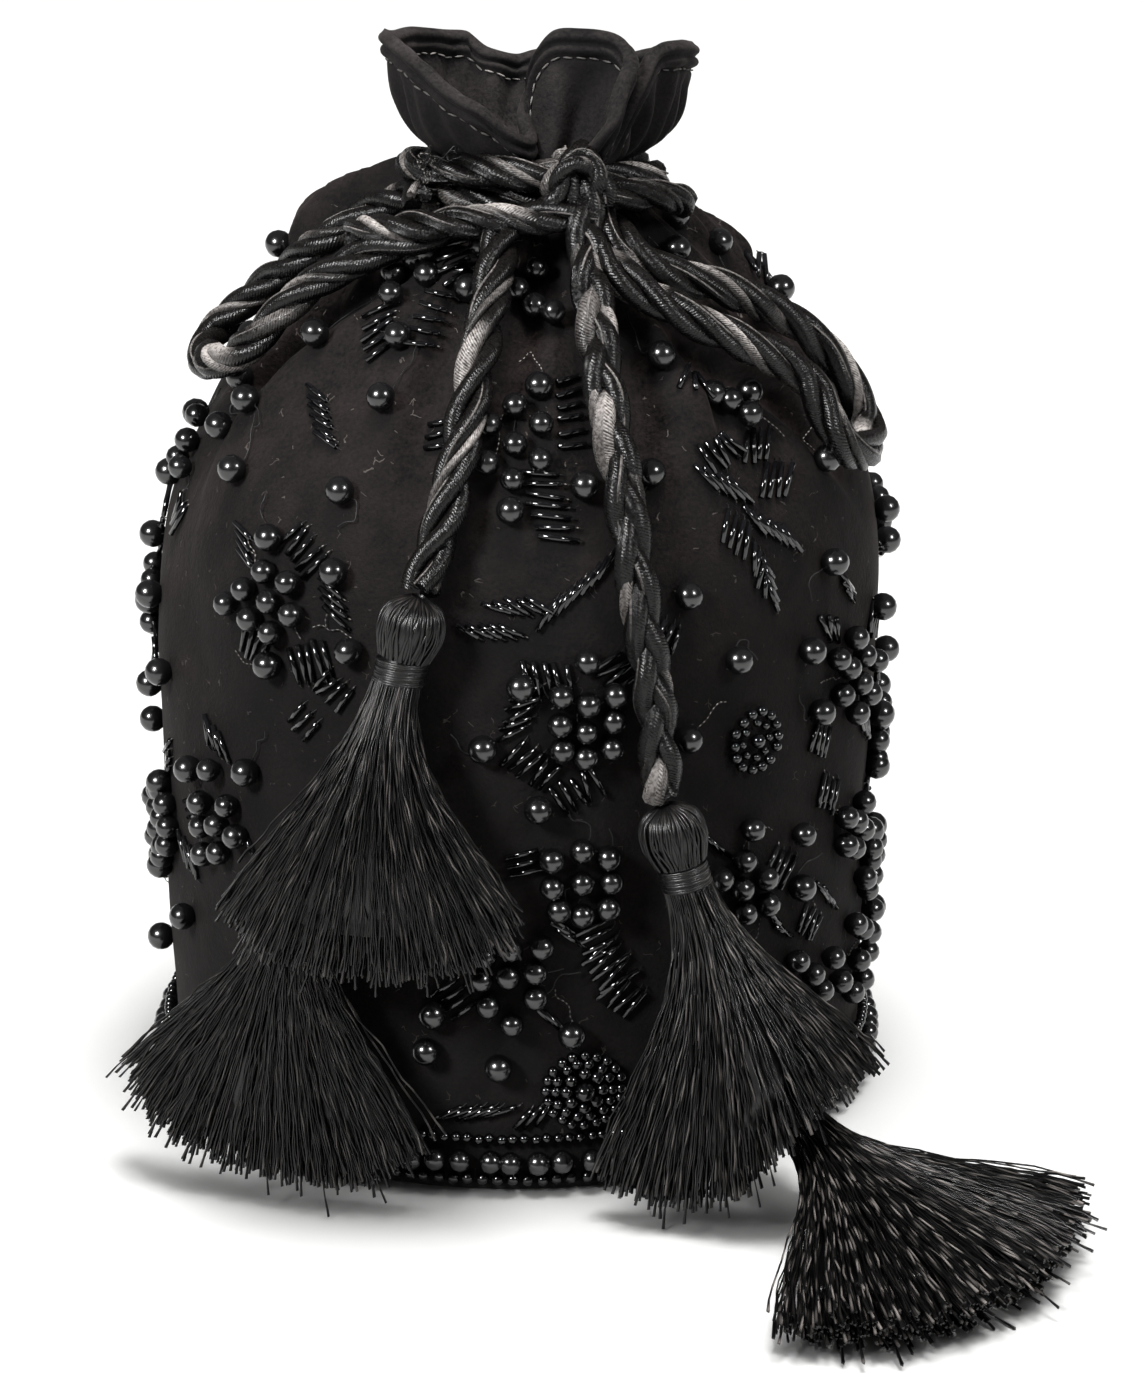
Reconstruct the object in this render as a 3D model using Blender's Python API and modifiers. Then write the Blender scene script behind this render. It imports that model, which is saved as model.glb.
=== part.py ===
"""Potli bag: a drawstring pouch with a stiff round base, a gathered shoulder and a stand-up frill.

Pearl beads are sewn all over the cloth, three strings of beads edge the base, and plaited cords
tie the neck, make two carrying loops and end in two-tier thread tassels.
World frame: metres, +Z up, origin at the middle of the underside, front towards -Y.
"""
import math

import bmesh
import bpy
from mathutils import Vector

MM = 0.001

# Base and cloth body
BASE_THICK = 2.0 * MM
BASE_EDGE = 0.5 * MM
BELLY_RADIUS = 77.5 * MM
BASE_TUCK = 1.5 * MM
BASE_RADIUS = BELLY_RADIUS - BASE_TUCK
BELLY_HEIGHT = 100.0 * MM
SHOULDER_START = 112.0 * MM
NECK_HEIGHT = 197.0 * MM
NECK_RADIUS = 18.6 * MM
SHOULDER_POWER = 5 / 7
LEAN = 5.5 * MM
LEAN_START = 100.0 * MM
SEAT_GAP = 0.3 * MM
BODY_COLUMNS = 56
BODY_RINGS = 19
BODY_RING_POWER = 0.9

# Gathers of the shoulder: shallow pleats all round, and longer creases at chosen angles
GATHERS = 11
GATHER_DEPTH = 2.8 * MM
GATHER_START = 128.0 * MM
GATHER_FULL = 184.0 * MM
CREASE_DEPTH = 4.0 * MM
CREASE_WIDTH = 7.5
CREASE_ANGLES = (-152, -118, -92, -66, -19, 20, 47, 71, 104, 139, 171)

# Frill above the neck cord
FRILL_WALL = 2.0 * MM
FRILL_WAIST = NECK_HEIGHT + 6.5 * MM
FRILL_FLOOR = FRILL_WAIST + FRILL_WALL
FRILL_COLUMNS = 60
FRILL_HITCH_ANGLE = 17.0
FRILL_HITCH_WIDTH = 13.0
FRILL_FLARE = 0.46
FRILL_HITCH_FLARE = 1.6
FRILL_SHARES = (0.0, 0.12, 0.3, 0.55, 0.8, 1.0)
# Rim as angle from the front (degrees, + towards +X), spread beyond the neck and rise above it (mm)
FRILL_RIM = ((-174, 12.4, 28), (-150, 15.4, 30), (-128, 11.4, 32), (-104, 16.4, 33),
             (-84, 17.4, 31), (-66, 12.4, 26), (-46, 7.4, 20), (-28, 4.4, 15), (-12, 4.4, 16),
             (0, 11.4, 27), (15, 14.4, 33), (30, 12.4, 32), (42, 5.4, 27), (56, 9.4, 30),
             (72, 16.4, 33), (92, 17.4, 32), (112, 11.4, 29), (136, 14.4, 29), (160, 10.4, 27))

# Beads
PEARL_DIAMETER = 6.0 * MM
CLUSTER_PEARL = 5.2 * MM
PEARL_SINK = 1.1 * MM
CLUSTER_RING = 6
CLUSTER_GAP = 0.4 * MM
# Angle from the front (degrees) and height (mm) of single pearls, then of flower clusters
SINGLE_PEARLS = ((-29, 164), (-55, 146), (-31, 147), (-60, 158), (-67, 151), (2, 168), (-2, 146),
                 (9, 149), (22, 150), (30, 171), (50, 157), (59, 148), (57, 127), (27, 127),
                 (36, 112), (52, 109), (55, 95), (27, 97), (61, 81), (10, 117), (1, 111),
                 (4, 86), (4, 61), (0, 37), (8, 36), (-2, 29), (-12, 33), (-44, 86), (-59, 81),
                 (-43, 137), (-30, 131), (-33, 173), (-40, 110), (-20, 182))
SIDE_PEARLS = ((-92, 146), (-84, 136), (-88, 121), (-96, 98), (-82, 90), (-90, 78), (-86, 62),
               (-94, 44), (-84, 30), (86, 160), (90, 146), (84, 128), (92, 118), (86, 96),
               (94, 84), (84, 70), (92, 52), (86, 36), (72, 174), (-80, 166))
BACK_PEARLS = ((122, 150), (148, 128), (178, 144), (-150, 132), (-124, 152), (134, 96), (160, 74),
               (-164, 92), (-136, 80), (120, 58), (146, 34), (-176, 30), (-146, 46), (-120, 104))
FLOWERS = ((-36, 182), (-41, 124), (2, 157), (11, 103), (10, 70), (-1, 50), (39, 63), (-60, 66),
           (40, 163), (67, 102), (66, 64))

# Strings of beads round the base: bead diameter, height, how many beads the string shows
STRING_LARGE = 4.8 * MM
STRING_LARGE_HEIGHT = 7.5 * MM
STRING_LARGE_BEADS = 90
STRING_TOP = 2.4 * MM
STRING_TOP_HEIGHT = 12.4 * MM
STRING_BOTTOM = 2.6 * MM
STRING_BOTTOM_HEIGHT = 3.4 * MM
STRING_COLUMNS = 52
STRING_SIDES = 5
STRING_WAIST = 0.42  # thickness between two large beads, as a share of a bead

# Rosettes of small beads: angle, height, diameter
ROSETTE_THICK = 2.4 * MM
ROSETTE_SIDES = 14
ROSETTE_SEAT = 0.1  # share of the cloth's fall under a rosette that its back follows
# Centre bead and two bead rings, as (share of the radius, share of the thickness)
ROSETTE_SHAPE = ((0, 1.0), (0.16, 0.92), (0.27, 0.62), (0.42, 0.98), (0.60, 0.60), (0.80, 0.98),
                 (1.0, 0.45), (0.9, 0), (0, 0))
ROSETTES = (("rosette_upper", 40.0, 94.0, 13.8 * MM), ("rosette_lower", 11.0, 23.0, 17.6 * MM))

# Cords
CORD_DIAMETER = 7.6 * MM
NECK_CORD_HEIGHT = NECK_HEIGHT + 3.6 * MM
NECK_CORD_GAP = 0.6 * MM
LINK_DIAMETER = 4.0 * MM
CORD_STEP = 9.0 * MM
CORD_SAMPLES = 12
# Routes are points as angle from the front (degrees), height and stand-off from the cloth (mm).
# Heights above the shoulder are for a rise of DRAWN_RISE from shoulder to neck, and keep their share.
DRAWN_RISE = 85.0 * MM
LOOP_LEFT_ROUTE = ((-44.4, 196, 12.3), (-50.3, 193.2, 10.5), (-54.7, 187, 5.3),
                   (-59.2, 181.5, 4.3), (-62.4, 176.2, 4), (-64.4, 170.8, 4.1),
                   (-65.9, 166.2, 5.6), (-70.8, 162.4, 8), (-78.5, 159.4, 8.9), (-86.5, 160, 10.8),
                   (-92.7, 163.4, 12.7), (-97, 168.8, 13), (-99.4, 174.2, 12.4),
                   (-100.6, 180.6, 10.2), (-96.5, 187, 9.6), (-92.8, 192, 10.2),
                   (-91.4, 197.2, 14.9))
LOOP_RIGHT_ROUTE = ((26.9, 197, 14.8), (32.6, 192.4, 11.1), (43, 187.4, 8.9), (54.2, 184, 8.1),
                    (64.4, 178.4, 7.4), (72, 172.8, 6.9), (77.5, 166.4, 6.6), (79.4, 159.8, 6.3),
                    (80.5, 153.6, 6.9), (78.1, 147.8, 7.7), (70.6, 145.8, 6.5), (63.9, 151.4, 5.9),
                    (59.5, 157.4, 6.5), (56.9, 163.2, 6.5), (53.4, 168.4, 6.9), (47, 172.6, 7.3),
                    (39.9, 175.4, 7.6), (32.7, 179.4, 8), (26.9, 183.6, 8))
FRONT_LEFT_ROUTE = ((-10.6, 196.6, 12.5), (-11, 193, 9.8), (-10.3, 184.4, 7.8),
                    (-10.3, 174.3, 6.6), (-10.5, 167.2, 6.3), (-10.8, 160.3, 6.1),
                    (-11.6, 147.4, 5.5), (-13.1, 138.6, 5.8), (-13.6, 132.9, 7.8))
FRONT_RIGHT_ROUTE = ((14.7, 209, 6.6), (14.2, 207, 12.1), (14.5, 202, 15.9), (15.1, 196.4, 15.9),
                     (14.8, 190.8, 9.3), (13.5, 179.2, 7.3), (13.9, 167.2, 6.4),
                     (15.2, 154.5, 5.7), (16.5, 139.5, 5.2), (18, 125.5, 5), (20.3, 109, 4.8),
                     (21.1, 100, 5.3), (21.5, 88.4, 6.8))
LINK_LEFT_ROUTE = ((-18.5, 107, 5.2), (-22.3, 99, 4.2), (-25.2, 92, 4.7), (-27.4, 84.9, 6.2))
LINK_RIGHT_ROUTE = ((26, 62.4, 7.3), (31.1, 52, 4.2), (34.5, 42, 4.4), (35.7, 34, 5.5),
                    (35.9, 28.9, 7.1))

# Tassels: head, binding and skirt share one axis from the head's top towards the aim point
HEAD_RADIUS = 6.8 * MM
HEAD_LENGTH = 12.6 * MM
HEAD_SIDES = 12
# Head and binding as (share of the radius, share of the length) from the top down
HEAD_SHAPE = ((0, 0), (0.45, 0.03), (0.80, 0.16), (1.0, 0.42), (0.98, 0.62), (0.84, 0.88), (0.76, 1.0),
              (0, 1.0))
BINDING_SHAPE = ((0, 0), (0.9, 0), (1.0, 0.22), (1.0, 0.78), (0.9, 1.0), (0, 1.0))
BINDING_RADIUS = 5.3 * MM
BINDING_LENGTH = 5.4 * MM
SKIRT_NECK_RADIUS = 5.0 * MM
SKIRT_THICK = 9.0 * MM
SKIRT_FLUTES = 12
SKIRT_FLUTE_DEPTH = 0.13
SKIRT_SHARES = (0.0, 0.16, 0.4, 0.7, 1.0)
# Name, head top, aim point, outward side, bow of the threads (mm), tips of the skirt from left to right,
# with points given as on the routes
TASSELS = (
    ("tassel_upper_left", (-13.7, 131.5, 8), (-16, 112.5, 8), (-0.2, -1, 0), 6.0,
     ((-37.5, 66, 19.7), (-31, 60, 21.9), (-24, 57, 21.3), (-16.9, 56, 19),
      (-9.3, 57, 16), (-2.5, 60, 12.9), (1.3, 67, 9.7))),
    ("tassel_lower_left", (-27.5, 84.4, 6.2), (-29.3, 65.4, 10.1), (-0.55, -1, 0), 2.0,
     ((-53.5, 24, 24.2), (-48.6, 17, 24.9), (-41.7, 11, 22.9), (-34.4, 8, 19.5),
      (-26.8, 7, 16.9), (-19.2, 8, 14.9), (-10.9, 17, 13.2))),
    ("tassel_upper_right", (21.7, 86.6, 6.9), (24.7, 68, 9.2), (0.45, -1, 0), 5.0,
     ((10.8, 10, 14.4), (16.2, 8, 20.7), (21.1, 8, 26.7), (25.1, 12, 32),
      (29.5, 24, 37.2), (36.3, 30, 34.9), (45, 30, 30.8))),
    ("tassel_lower_right", (35.9, 27.4, 8), (35.9, 15.6, 29.3), (0, 0, 1), 1.0,
     ((18.6, 6, 81), (21.9, 6, 87.6), (26, 6, 92.5), (31.3, 6, 93.5),
      (37.2, 6, 90.9), (45, 6.5, 82.2), (53.1, 7, 70.2))),
)

# Finishes: colour, roughness, metallic
CLOTH = ("brushed cotton", (0.012, 0.011, 0.011, 1), 0.92, 0.0)
HEM_CLOTH = ("plain heading cloth", (0.010, 0.009, 0.010, 1), 0.85, 0.0)
BASE_CLOTH = ("base cloth", (0.010, 0.010, 0.010, 1), 0.9, 0.0)
GLASS_PEARL = ("glass pearl", (0.035, 0.035, 0.040, 1), 0.15, 0.0)
SEED_BEAD = ("seed bead", (0.015, 0.015, 0.018, 1), 0.2, 0.0)
PLAITED_GIMP = ("plaited gimp", (0.030, 0.030, 0.032, 1), 0.45, 0.0)
TASSEL_THREAD = ("tassel thread", (0.014, 0.014, 0.016, 1), 0.5, 0.0)


def smooth(value):
    """Smoothstep between 0 and 1."""
    value = min(1.0, max(0.0, value))
    return value * value * (3 - 2 * value)


def lean_at(height):
    """Sideways offset of the bag's axis towards +X at a height."""
    rise = max(0.0, (height - LEAN_START) / (NECK_HEIGHT - LEAN_START))
    return LEAN * min(1.3, rise)


def outline_radius(height):
    """Radius of the cloth body's outer envelope: a slight belly, then a domed shoulder."""
    if height < SHOULDER_START:
        swell = math.sin(min(1.0, height / BELLY_HEIGHT) * math.pi / 2)
        return BASE_RADIUS + (BELLY_RADIUS - BASE_RADIUS) * swell
    rise = min(1.0, (height - SHOULDER_START) / (NECK_HEIGHT - SHOULDER_START))
    return NECK_RADIUS + (BELLY_RADIUS - NECK_RADIUS) * (1 - rise * rise) ** SHOULDER_POWER


def fold_depth(angle, height):
    """How far the gathered cloth dips inside the envelope, for an angle in degrees."""
    ramp = smooth((height - GATHER_START) / (GATHER_FULL - GATHER_START))
    turn = math.radians(angle)
    pleat = 0.5 - 0.5 * math.cos(GATHERS * turn + 1.1 * math.sin(3 * turn))
    crease = 0.0
    for centre in CREASE_ANGLES:
        away = (angle - centre + 180) % 360 - 180
        crease = max(crease, math.exp(-(away / CREASE_WIDTH) ** 2))
    tight = min(1.0, outline_radius(height) / (2.2 * NECK_RADIUS))
    return ramp * tight * (GATHER_DEPTH * pleat + CREASE_DEPTH * crease)


def polar(angle, radius, height):
    """World point at an angle from the front, a radius from the leaning axis and a height."""
    turn = math.radians(angle)
    return Vector((lean_at(height) + radius * math.sin(turn), -radius * math.cos(turn), height))


def outward(angle, height):
    """Unit normal of the envelope."""
    step = 0.5 * MM
    run = outline_radius(height + step) - outline_radius(height - step)
    turn = math.radians(angle)
    slope = run / (2 * step)
    return Vector((math.sin(turn), -math.cos(turn), -slope)).normalized()


def on_cloth(angle, height, lift):
    """World point on the folded cloth, lifted along the envelope's normal."""
    radius = outline_radius(height) - fold_depth(angle, height)
    return polar(angle, radius, height) + outward(angle, height) * lift


def placed(angle, height, stand_off):
    """World point from an angle in degrees, a height and a stand-off from the envelope, both in mm."""
    level = height * MM
    if level > SHOULDER_START:
        rise = (level - SHOULDER_START) / DRAWN_RISE
        level = SHOULDER_START + rise * (NECK_HEIGHT - SHOULDER_START)
    return polar(angle, outline_radius(level) + stand_off * MM, level)


def spline_point(points, position, closed=False):
    """Point on a Catmull-Rom curve; one unit of position is one span between listed points."""
    count = len(points)
    span = int(math.floor(position))
    share = position - span

    def pick(index):
        return points[index % count] if closed else points[min(count - 1, max(0, index))]

    before, start, end, after = pick(span - 1), pick(span), pick(span + 1), pick(span + 2)
    return tuple(
        0.5 * (2 * b + (c - a) * share + (2 * a - 5 * b + 4 * c - d) * share ** 2
               + (3 * b - a - 3 * c + d) * share ** 3)
        for a, b, c, d in zip(before, start, end, after))


def material(finish):
    """Principled material for a finish."""
    name, colour, roughness, metallic = finish
    found = bpy.data.materials.get(name)
    if found:
        return found
    made = bpy.data.materials.new(name)
    made.use_nodes = True
    shader = made.node_tree.nodes["Principled BSDF"]
    shader.inputs["Base Color"].default_value = colour
    shader.inputs["Roughness"].default_value = roughness
    shader.inputs["Metallic"].default_value = metallic
    return made


def add_object(name, data, finish, collection):
    """Link a named object with its material."""
    made = bpy.data.objects.new(name, data)
    collection.objects.link(made)
    if finish:
        data.materials.append(material(finish))
    return made


def loft(name, rings, finish, collection, closed_path=False):
    """Closed solid through rings of equally many points, capped at both ends unless it is a loop."""
    work = bmesh.new()
    rows = [[work.verts.new(point) for point in ring] for ring in rings]
    pairs = list(zip(rows, rows[1:]))
    if closed_path:
        pairs.append((rows[-1], rows[0]))
    for lower, upper in pairs:
        count = len(lower)
        for index in range(count):
            after = (index + 1) % count
            work.faces.new((lower[index], lower[after], upper[after], upper[index]))
    if not closed_path:
        work.faces.new(list(reversed(rows[0])))
        work.faces.new(rows[-1])
    bmesh.ops.recalc_face_normals(work, faces=work.faces)
    data = bpy.data.meshes.new(name)
    work.to_mesh(data)
    work.free()
    data.shade_smooth()
    return add_object(name, data, finish, collection)


def turned(name, profile, finish, collection, sides, place):
    """Solid turned about its local Z from (radius, height) points listed from top to bottom."""
    data = bpy.data.meshes.new(name)
    edges = [(index, index + 1) for index in range(len(profile) - 1)]
    data.from_pydata([(radius, 0, height) for radius, height in profile], edges, [])
    made = add_object(name, data, finish, collection)
    screw = made.modifiers.new("turn", "SCREW")
    screw.axis = "Z"
    screw.steps = sides
    screw.render_steps = sides
    screw.use_merge_vertices = True
    screw.merge_threshold = 0.00001
    screw.use_smooth_shade = True
    made.location = place[0]
    made.rotation_mode = "QUATERNION"
    made.rotation_quaternion = place[1]
    return made


def pearl_centres():
    """Centre and diameter of every pearl that is sewn to the cloth."""
    single_lift = PEARL_DIAMETER / 2 - PEARL_SINK
    for angle, height in SINGLE_PEARLS + SIDE_PEARLS + BACK_PEARLS:
        yield on_cloth(angle, height * MM, single_lift), PEARL_DIAMETER
    cluster_lift = CLUSTER_PEARL / 2 - PEARL_SINK
    pitch = CLUSTER_PEARL + CLUSTER_GAP
    ring_radius = pitch / (2 * math.sin(math.pi / CLUSTER_RING))
    for angle, height in FLOWERS:
        yield on_cloth(angle, height * MM, cluster_lift), CLUSTER_PEARL
        slope = outward(angle, height * MM)
        rise_share = math.hypot(slope.x, slope.y)
        for index in range(CLUSTER_RING):
            turn = 2 * math.pi * index / CLUSTER_RING
            up = ring_radius * math.cos(turn) * rise_share
            level = height * MM + up
            side = math.degrees(ring_radius * math.sin(turn) / outline_radius(level))
            yield on_cloth(angle + side, level, cluster_lift), CLUSTER_PEARL


def make_body(parts, cutters):
    """Gathered cloth pouch, closed at base and neck, with its pearls sewn on."""
    bottom = BASE_THICK + SEAT_GAP
    rings = []
    for index in range(BODY_RINGS):
        share = index / (BODY_RINGS - 1)
        height = bottom + (NECK_HEIGHT - bottom) * math.sin(share * math.pi / 2) ** BODY_RING_POWER
        ring = []
        for column in range(BODY_COLUMNS):
            angle = 360 * column / BODY_COLUMNS
            ring.append(polar(angle, outline_radius(height) - fold_depth(angle, height), height))
        rings.append(ring)
    body = loft("bag_body", rings, CLOTH, parts)
    beads = bmesh.new()
    for centre, diameter in pearl_centres():
        made = bmesh.ops.create_icosphere(beads, subdivisions=1, radius=diameter / 2)
        bmesh.ops.translate(beads, verts=made["verts"], vec=centre)
    data = bpy.data.meshes.new("sewn_pearls")
    beads.to_mesh(data)
    beads.free()
    pearls = add_object("sewn_pearls", data, None, cutters)
    pearls.hide_render = True
    pearls.display_type = "WIRE"
    join = body.modifiers.new("pearls", "BOOLEAN")
    join.operation = "UNION"
    join.solver = "EXACT"
    join.object = pearls


def make_base(parts):
    """Stiff round base panel, flat underneath."""
    data = bpy.data.meshes.new("base_panel")
    work = bmesh.new()
    bmesh.ops.create_cone(work, cap_ends=True, segments=BODY_COLUMNS, radius1=BASE_RADIUS,
                          radius2=BASE_RADIUS, depth=BASE_THICK)
    bmesh.ops.translate(work, verts=work.verts, vec=(0, 0, BASE_THICK / 2))
    work.to_mesh(data)
    work.free()
    panel = add_object("base_panel", data, BASE_CLOTH, parts)
    edge = panel.modifiers.new("edge", "BEVEL")
    edge.width = BASE_EDGE
    edge.segments = 1
    edge.limit_method = "ANGLE"


def rim_at(angle):
    """Radius and height of the frill's rim at an angle, from the listed points."""
    count = len(FRILL_RIM)
    for index in range(count):
        start = FRILL_RIM[index][0]
        end = FRILL_RIM[(index + 1) % count][0]
        width = (end - start) % 360
        away = (angle - start) % 360
        if away < width:
            sizes = [entry[1:] for entry in FRILL_RIM]
            spread, rise = spline_point(sizes, index + away / width, closed=True)
            return NECK_RADIUS + spread * MM, NECK_HEIGHT + rise * MM
    return NECK_RADIUS + FRILL_RIM[0][1] * MM, NECK_HEIGHT + FRILL_RIM[0][2] * MM


def frill_ring(share, wall):
    """One ring of the frill between waist and rim, moved in by a wall thickness."""
    ring = []
    for column in range(FRILL_COLUMNS):
        angle = 360 * column / FRILL_COLUMNS
        rim_radius, rim_height = rim_at(angle)
        away = (angle - FRILL_HITCH_ANGLE + 180) % 360 - 180
        hitch = math.exp(-(away / FRILL_HITCH_WIDTH) ** 2)
        flare = share ** (FRILL_FLARE + FRILL_HITCH_FLARE * hitch)
        radius = NECK_RADIUS + (rim_radius - NECK_RADIUS) * flare - wall
        height = FRILL_WAIST + (rim_height - FRILL_WAIST) * share
        ring.append(polar(angle, radius, height))
    return ring


def make_frill(parts):
    """Heading band that stands above the neck cord, open at the top and gathered shut below."""
    foot = NECK_HEIGHT + SEAT_GAP
    foot_ring = [polar(360 * column / FRILL_COLUMNS, NECK_RADIUS, foot)
                 for column in range(FRILL_COLUMNS)]
    rings = [foot_ring]
    rings += [frill_ring(share, 0.0) for share in FRILL_SHARES]
    rings += [frill_ring(share, FRILL_WALL) for share in reversed(FRILL_SHARES[1:])]
    floor = [polar(360 * column / FRILL_COLUMNS, NECK_RADIUS - 2 * FRILL_WALL, FRILL_FLOOR)
             for column in range(FRILL_COLUMNS)]
    rings.append(floor)
    loft("mouth_frill", rings, HEM_CLOTH, parts)


def string_of_beads(name, diameter, height, columns, waist, finish, parts):
    """Ring of beads round the base; waist is the string's share of a bead's width between beads."""
    centre_radius = outline_radius(height) + SEAT_GAP + diameter / 2
    rings = []
    for column in range(columns):
        turn = 2 * math.pi * column / columns
        half = diameter / 2 * (waist if column % 2 else 1.0)
        ring = []
        for side in range(STRING_SIDES):
            around = 2 * math.pi * side / STRING_SIDES
            radius = centre_radius + half * math.cos(around)
            ring.append(Vector((radius * math.sin(turn), -radius * math.cos(turn),
                                height + half * math.sin(around))))
        rings.append(ring)
    loft(name, rings, finish, parts, closed_path=True)


def make_rosettes(parts):
    """Discs of small beads, a centre bead inside two rings, lying on the cloth."""
    for name, angle, height, diameter in ROSETTES:
        half = diameter / 2
        profile = [(half * out, ROSETTE_THICK * up) for out, up in ROSETTE_SHAPE]
        normal = outward(angle, height * MM)
        radius = outline_radius(height * MM)
        fall = radius - math.sqrt(radius ** 2 - half ** 2)
        place = polar(angle, radius, height * MM) + normal * (SEAT_GAP + fall * ROSETTE_SEAT)
        turned(name, profile, SEED_BEAD, parts, ROSETTE_SIDES, (place, normal.to_track_quat("Z", "Y")))


def tube(name, route, diameter, parts):
    """Cord as a tube along a smooth curve through its chosen points."""
    points = [placed(*point) for point in route]
    fine = [Vector(spline_point(points, index / CORD_SAMPLES))
            for index in range(CORD_SAMPLES * (len(points) - 1) + 1)]
    lengths = [0.0]
    for start, end in zip(fine, fine[1:]):
        lengths.append(lengths[-1] + (end - start).length)
    count = max(4, round(lengths[-1] / CORD_STEP))
    data = bpy.data.curves.new(name, "CURVE")
    data.dimensions = "3D"
    data.bevel_depth = diameter / 2
    data.bevel_resolution = 2
    data.use_fill_caps = True
    line = data.splines.new("POLY")
    line.points.add(count)
    for index in range(count + 1):
        wanted = lengths[-1] * index / count
        last = max(place for place, length in enumerate(lengths) if length <= wanted + 1e-9)
        line.points[index].co = (*fine[last], 1)
    add_object(name, data, PLAITED_GIMP, parts)


def make_neck_cord(parts):
    """Plaited cord tied round the neck between body and frill."""
    major = NECK_RADIUS + NECK_CORD_GAP + CORD_DIAMETER / 2
    bpy.ops.mesh.primitive_torus_add(major_segments=36, minor_segments=8, major_radius=major,
                                     minor_radius=CORD_DIAMETER / 2,
                                     location=(lean_at(NECK_CORD_HEIGHT), 0, NECK_CORD_HEIGHT))
    ring = bpy.context.object
    ring.name = "neck_cord"
    ring.data.materials.append(material(PLAITED_GIMP))
    ring.data.shade_smooth()
    for home in list(ring.users_collection):
        home.objects.unlink(ring)
    parts.objects.link(ring)


def make_tassel(parts, name, top, aim, side, bow, tips):
    """Thread-covered head, its binding and a fanned skirt of threads."""
    top = placed(*top)
    axis = (placed(*aim) - top).normalized()
    turn = (-axis).to_track_quat("Z", "Y")
    length = HEAD_LENGTH
    profile = [(HEAD_RADIUS * radius, -length * down) for radius, down in HEAD_SHAPE]
    turned(name + "_head", profile, TASSEL_THREAD, parts, HEAD_SIDES, (top, turn))
    binding_top = length + SEAT_GAP
    profile = [(BINDING_RADIUS * radius, -binding_top - BINDING_LENGTH * down)
               for radius, down in BINDING_SHAPE]
    turned(name + "_binding", profile, TASSEL_THREAD, parts, HEAD_SIDES, (top, turn))

    start = top + axis * (binding_top + BINDING_LENGTH + SEAT_GAP)
    side = (Vector(side) - axis * Vector(side).dot(axis)).normalized()
    across = axis.cross(side).normalized()
    ends = [placed(*tip) for tip in tips]
    if across.dot(ends[-1] - start) < 0:
        across = -across
    sides = 2 * SKIRT_FLUTES
    rings = []
    for share in SKIRT_SHARES:
        ring = []
        for index in range(sides):
            around = 2 * math.pi * index / sides
            flute = 1 - (SKIRT_FLUTE_DEPTH * share ** 0.5 if index % 2 else 0.0)
            wide, deep = math.cos(around) * flute, math.sin(around) * flute
            root = start + (across * wide + side * deep) * SKIRT_NECK_RADIUS
            end = Vector(spline_point(ends, (wide + 1) / 2 * (len(ends) - 1)))
            end += side * deep * SKIRT_THICK / 2
            lift = side * bow * MM * math.sin(math.pi * share)
            ring.append(root.lerp(end, share) + lift)
        rings.append(ring)
    loft(name + "_skirt", rings, TASSEL_THREAD, parts)


def main():
    for found in list(bpy.data.objects):
        bpy.data.objects.remove(found)
    parts = bpy.data.collections.new("potli_bag")
    cutters = bpy.data.collections.new("potli_bag_cutters")
    for made in (parts, cutters):
        bpy.context.scene.collection.children.link(made)
    make_base(parts)
    make_body(parts, cutters)
    make_frill(parts)
    string_of_beads("base_beads_bottom", STRING_BOTTOM, STRING_BOTTOM_HEIGHT, STRING_COLUMNS, 1.0,
                    SEED_BEAD, parts)
    string_of_beads("base_beads_middle", STRING_LARGE, STRING_LARGE_HEIGHT, 2 * STRING_LARGE_BEADS,
                    STRING_WAIST, GLASS_PEARL, parts)
    string_of_beads("base_beads_top", STRING_TOP, STRING_TOP_HEIGHT, STRING_COLUMNS, 1.0,
                    SEED_BEAD, parts)
    make_rosettes(parts)
    make_neck_cord(parts)
    tube("carry_loop_left", LOOP_LEFT_ROUTE, CORD_DIAMETER, parts)
    tube("carry_loop_right", LOOP_RIGHT_ROUTE, CORD_DIAMETER, parts)
    tube("front_cord_left", FRONT_LEFT_ROUTE, CORD_DIAMETER, parts)
    tube("front_cord_right", FRONT_RIGHT_ROUTE, CORD_DIAMETER, parts)
    tube("link_cord_left", LINK_LEFT_ROUTE, LINK_DIAMETER, parts)
    tube("link_cord_right", LINK_RIGHT_ROUTE, LINK_DIAMETER, parts)
    for tassel in TASSELS:
        make_tassel(parts, *tassel)


main()
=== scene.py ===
"""Black beaded potli bag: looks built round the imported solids."""
import math
from types import SimpleNamespace

import bpy
import numpy as np
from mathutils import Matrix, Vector


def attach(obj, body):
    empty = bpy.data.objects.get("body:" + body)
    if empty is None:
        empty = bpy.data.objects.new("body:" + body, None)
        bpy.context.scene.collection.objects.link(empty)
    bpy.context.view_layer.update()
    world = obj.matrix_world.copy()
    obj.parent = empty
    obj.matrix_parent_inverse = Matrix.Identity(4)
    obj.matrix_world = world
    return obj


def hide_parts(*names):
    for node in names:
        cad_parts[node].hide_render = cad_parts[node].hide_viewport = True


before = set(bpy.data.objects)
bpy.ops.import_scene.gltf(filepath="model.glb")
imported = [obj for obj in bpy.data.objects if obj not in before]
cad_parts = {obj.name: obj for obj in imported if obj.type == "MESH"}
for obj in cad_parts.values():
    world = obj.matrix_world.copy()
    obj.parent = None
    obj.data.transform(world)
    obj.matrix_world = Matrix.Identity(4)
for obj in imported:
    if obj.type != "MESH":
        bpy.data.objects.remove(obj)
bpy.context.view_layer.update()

MM = 0.001

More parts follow.
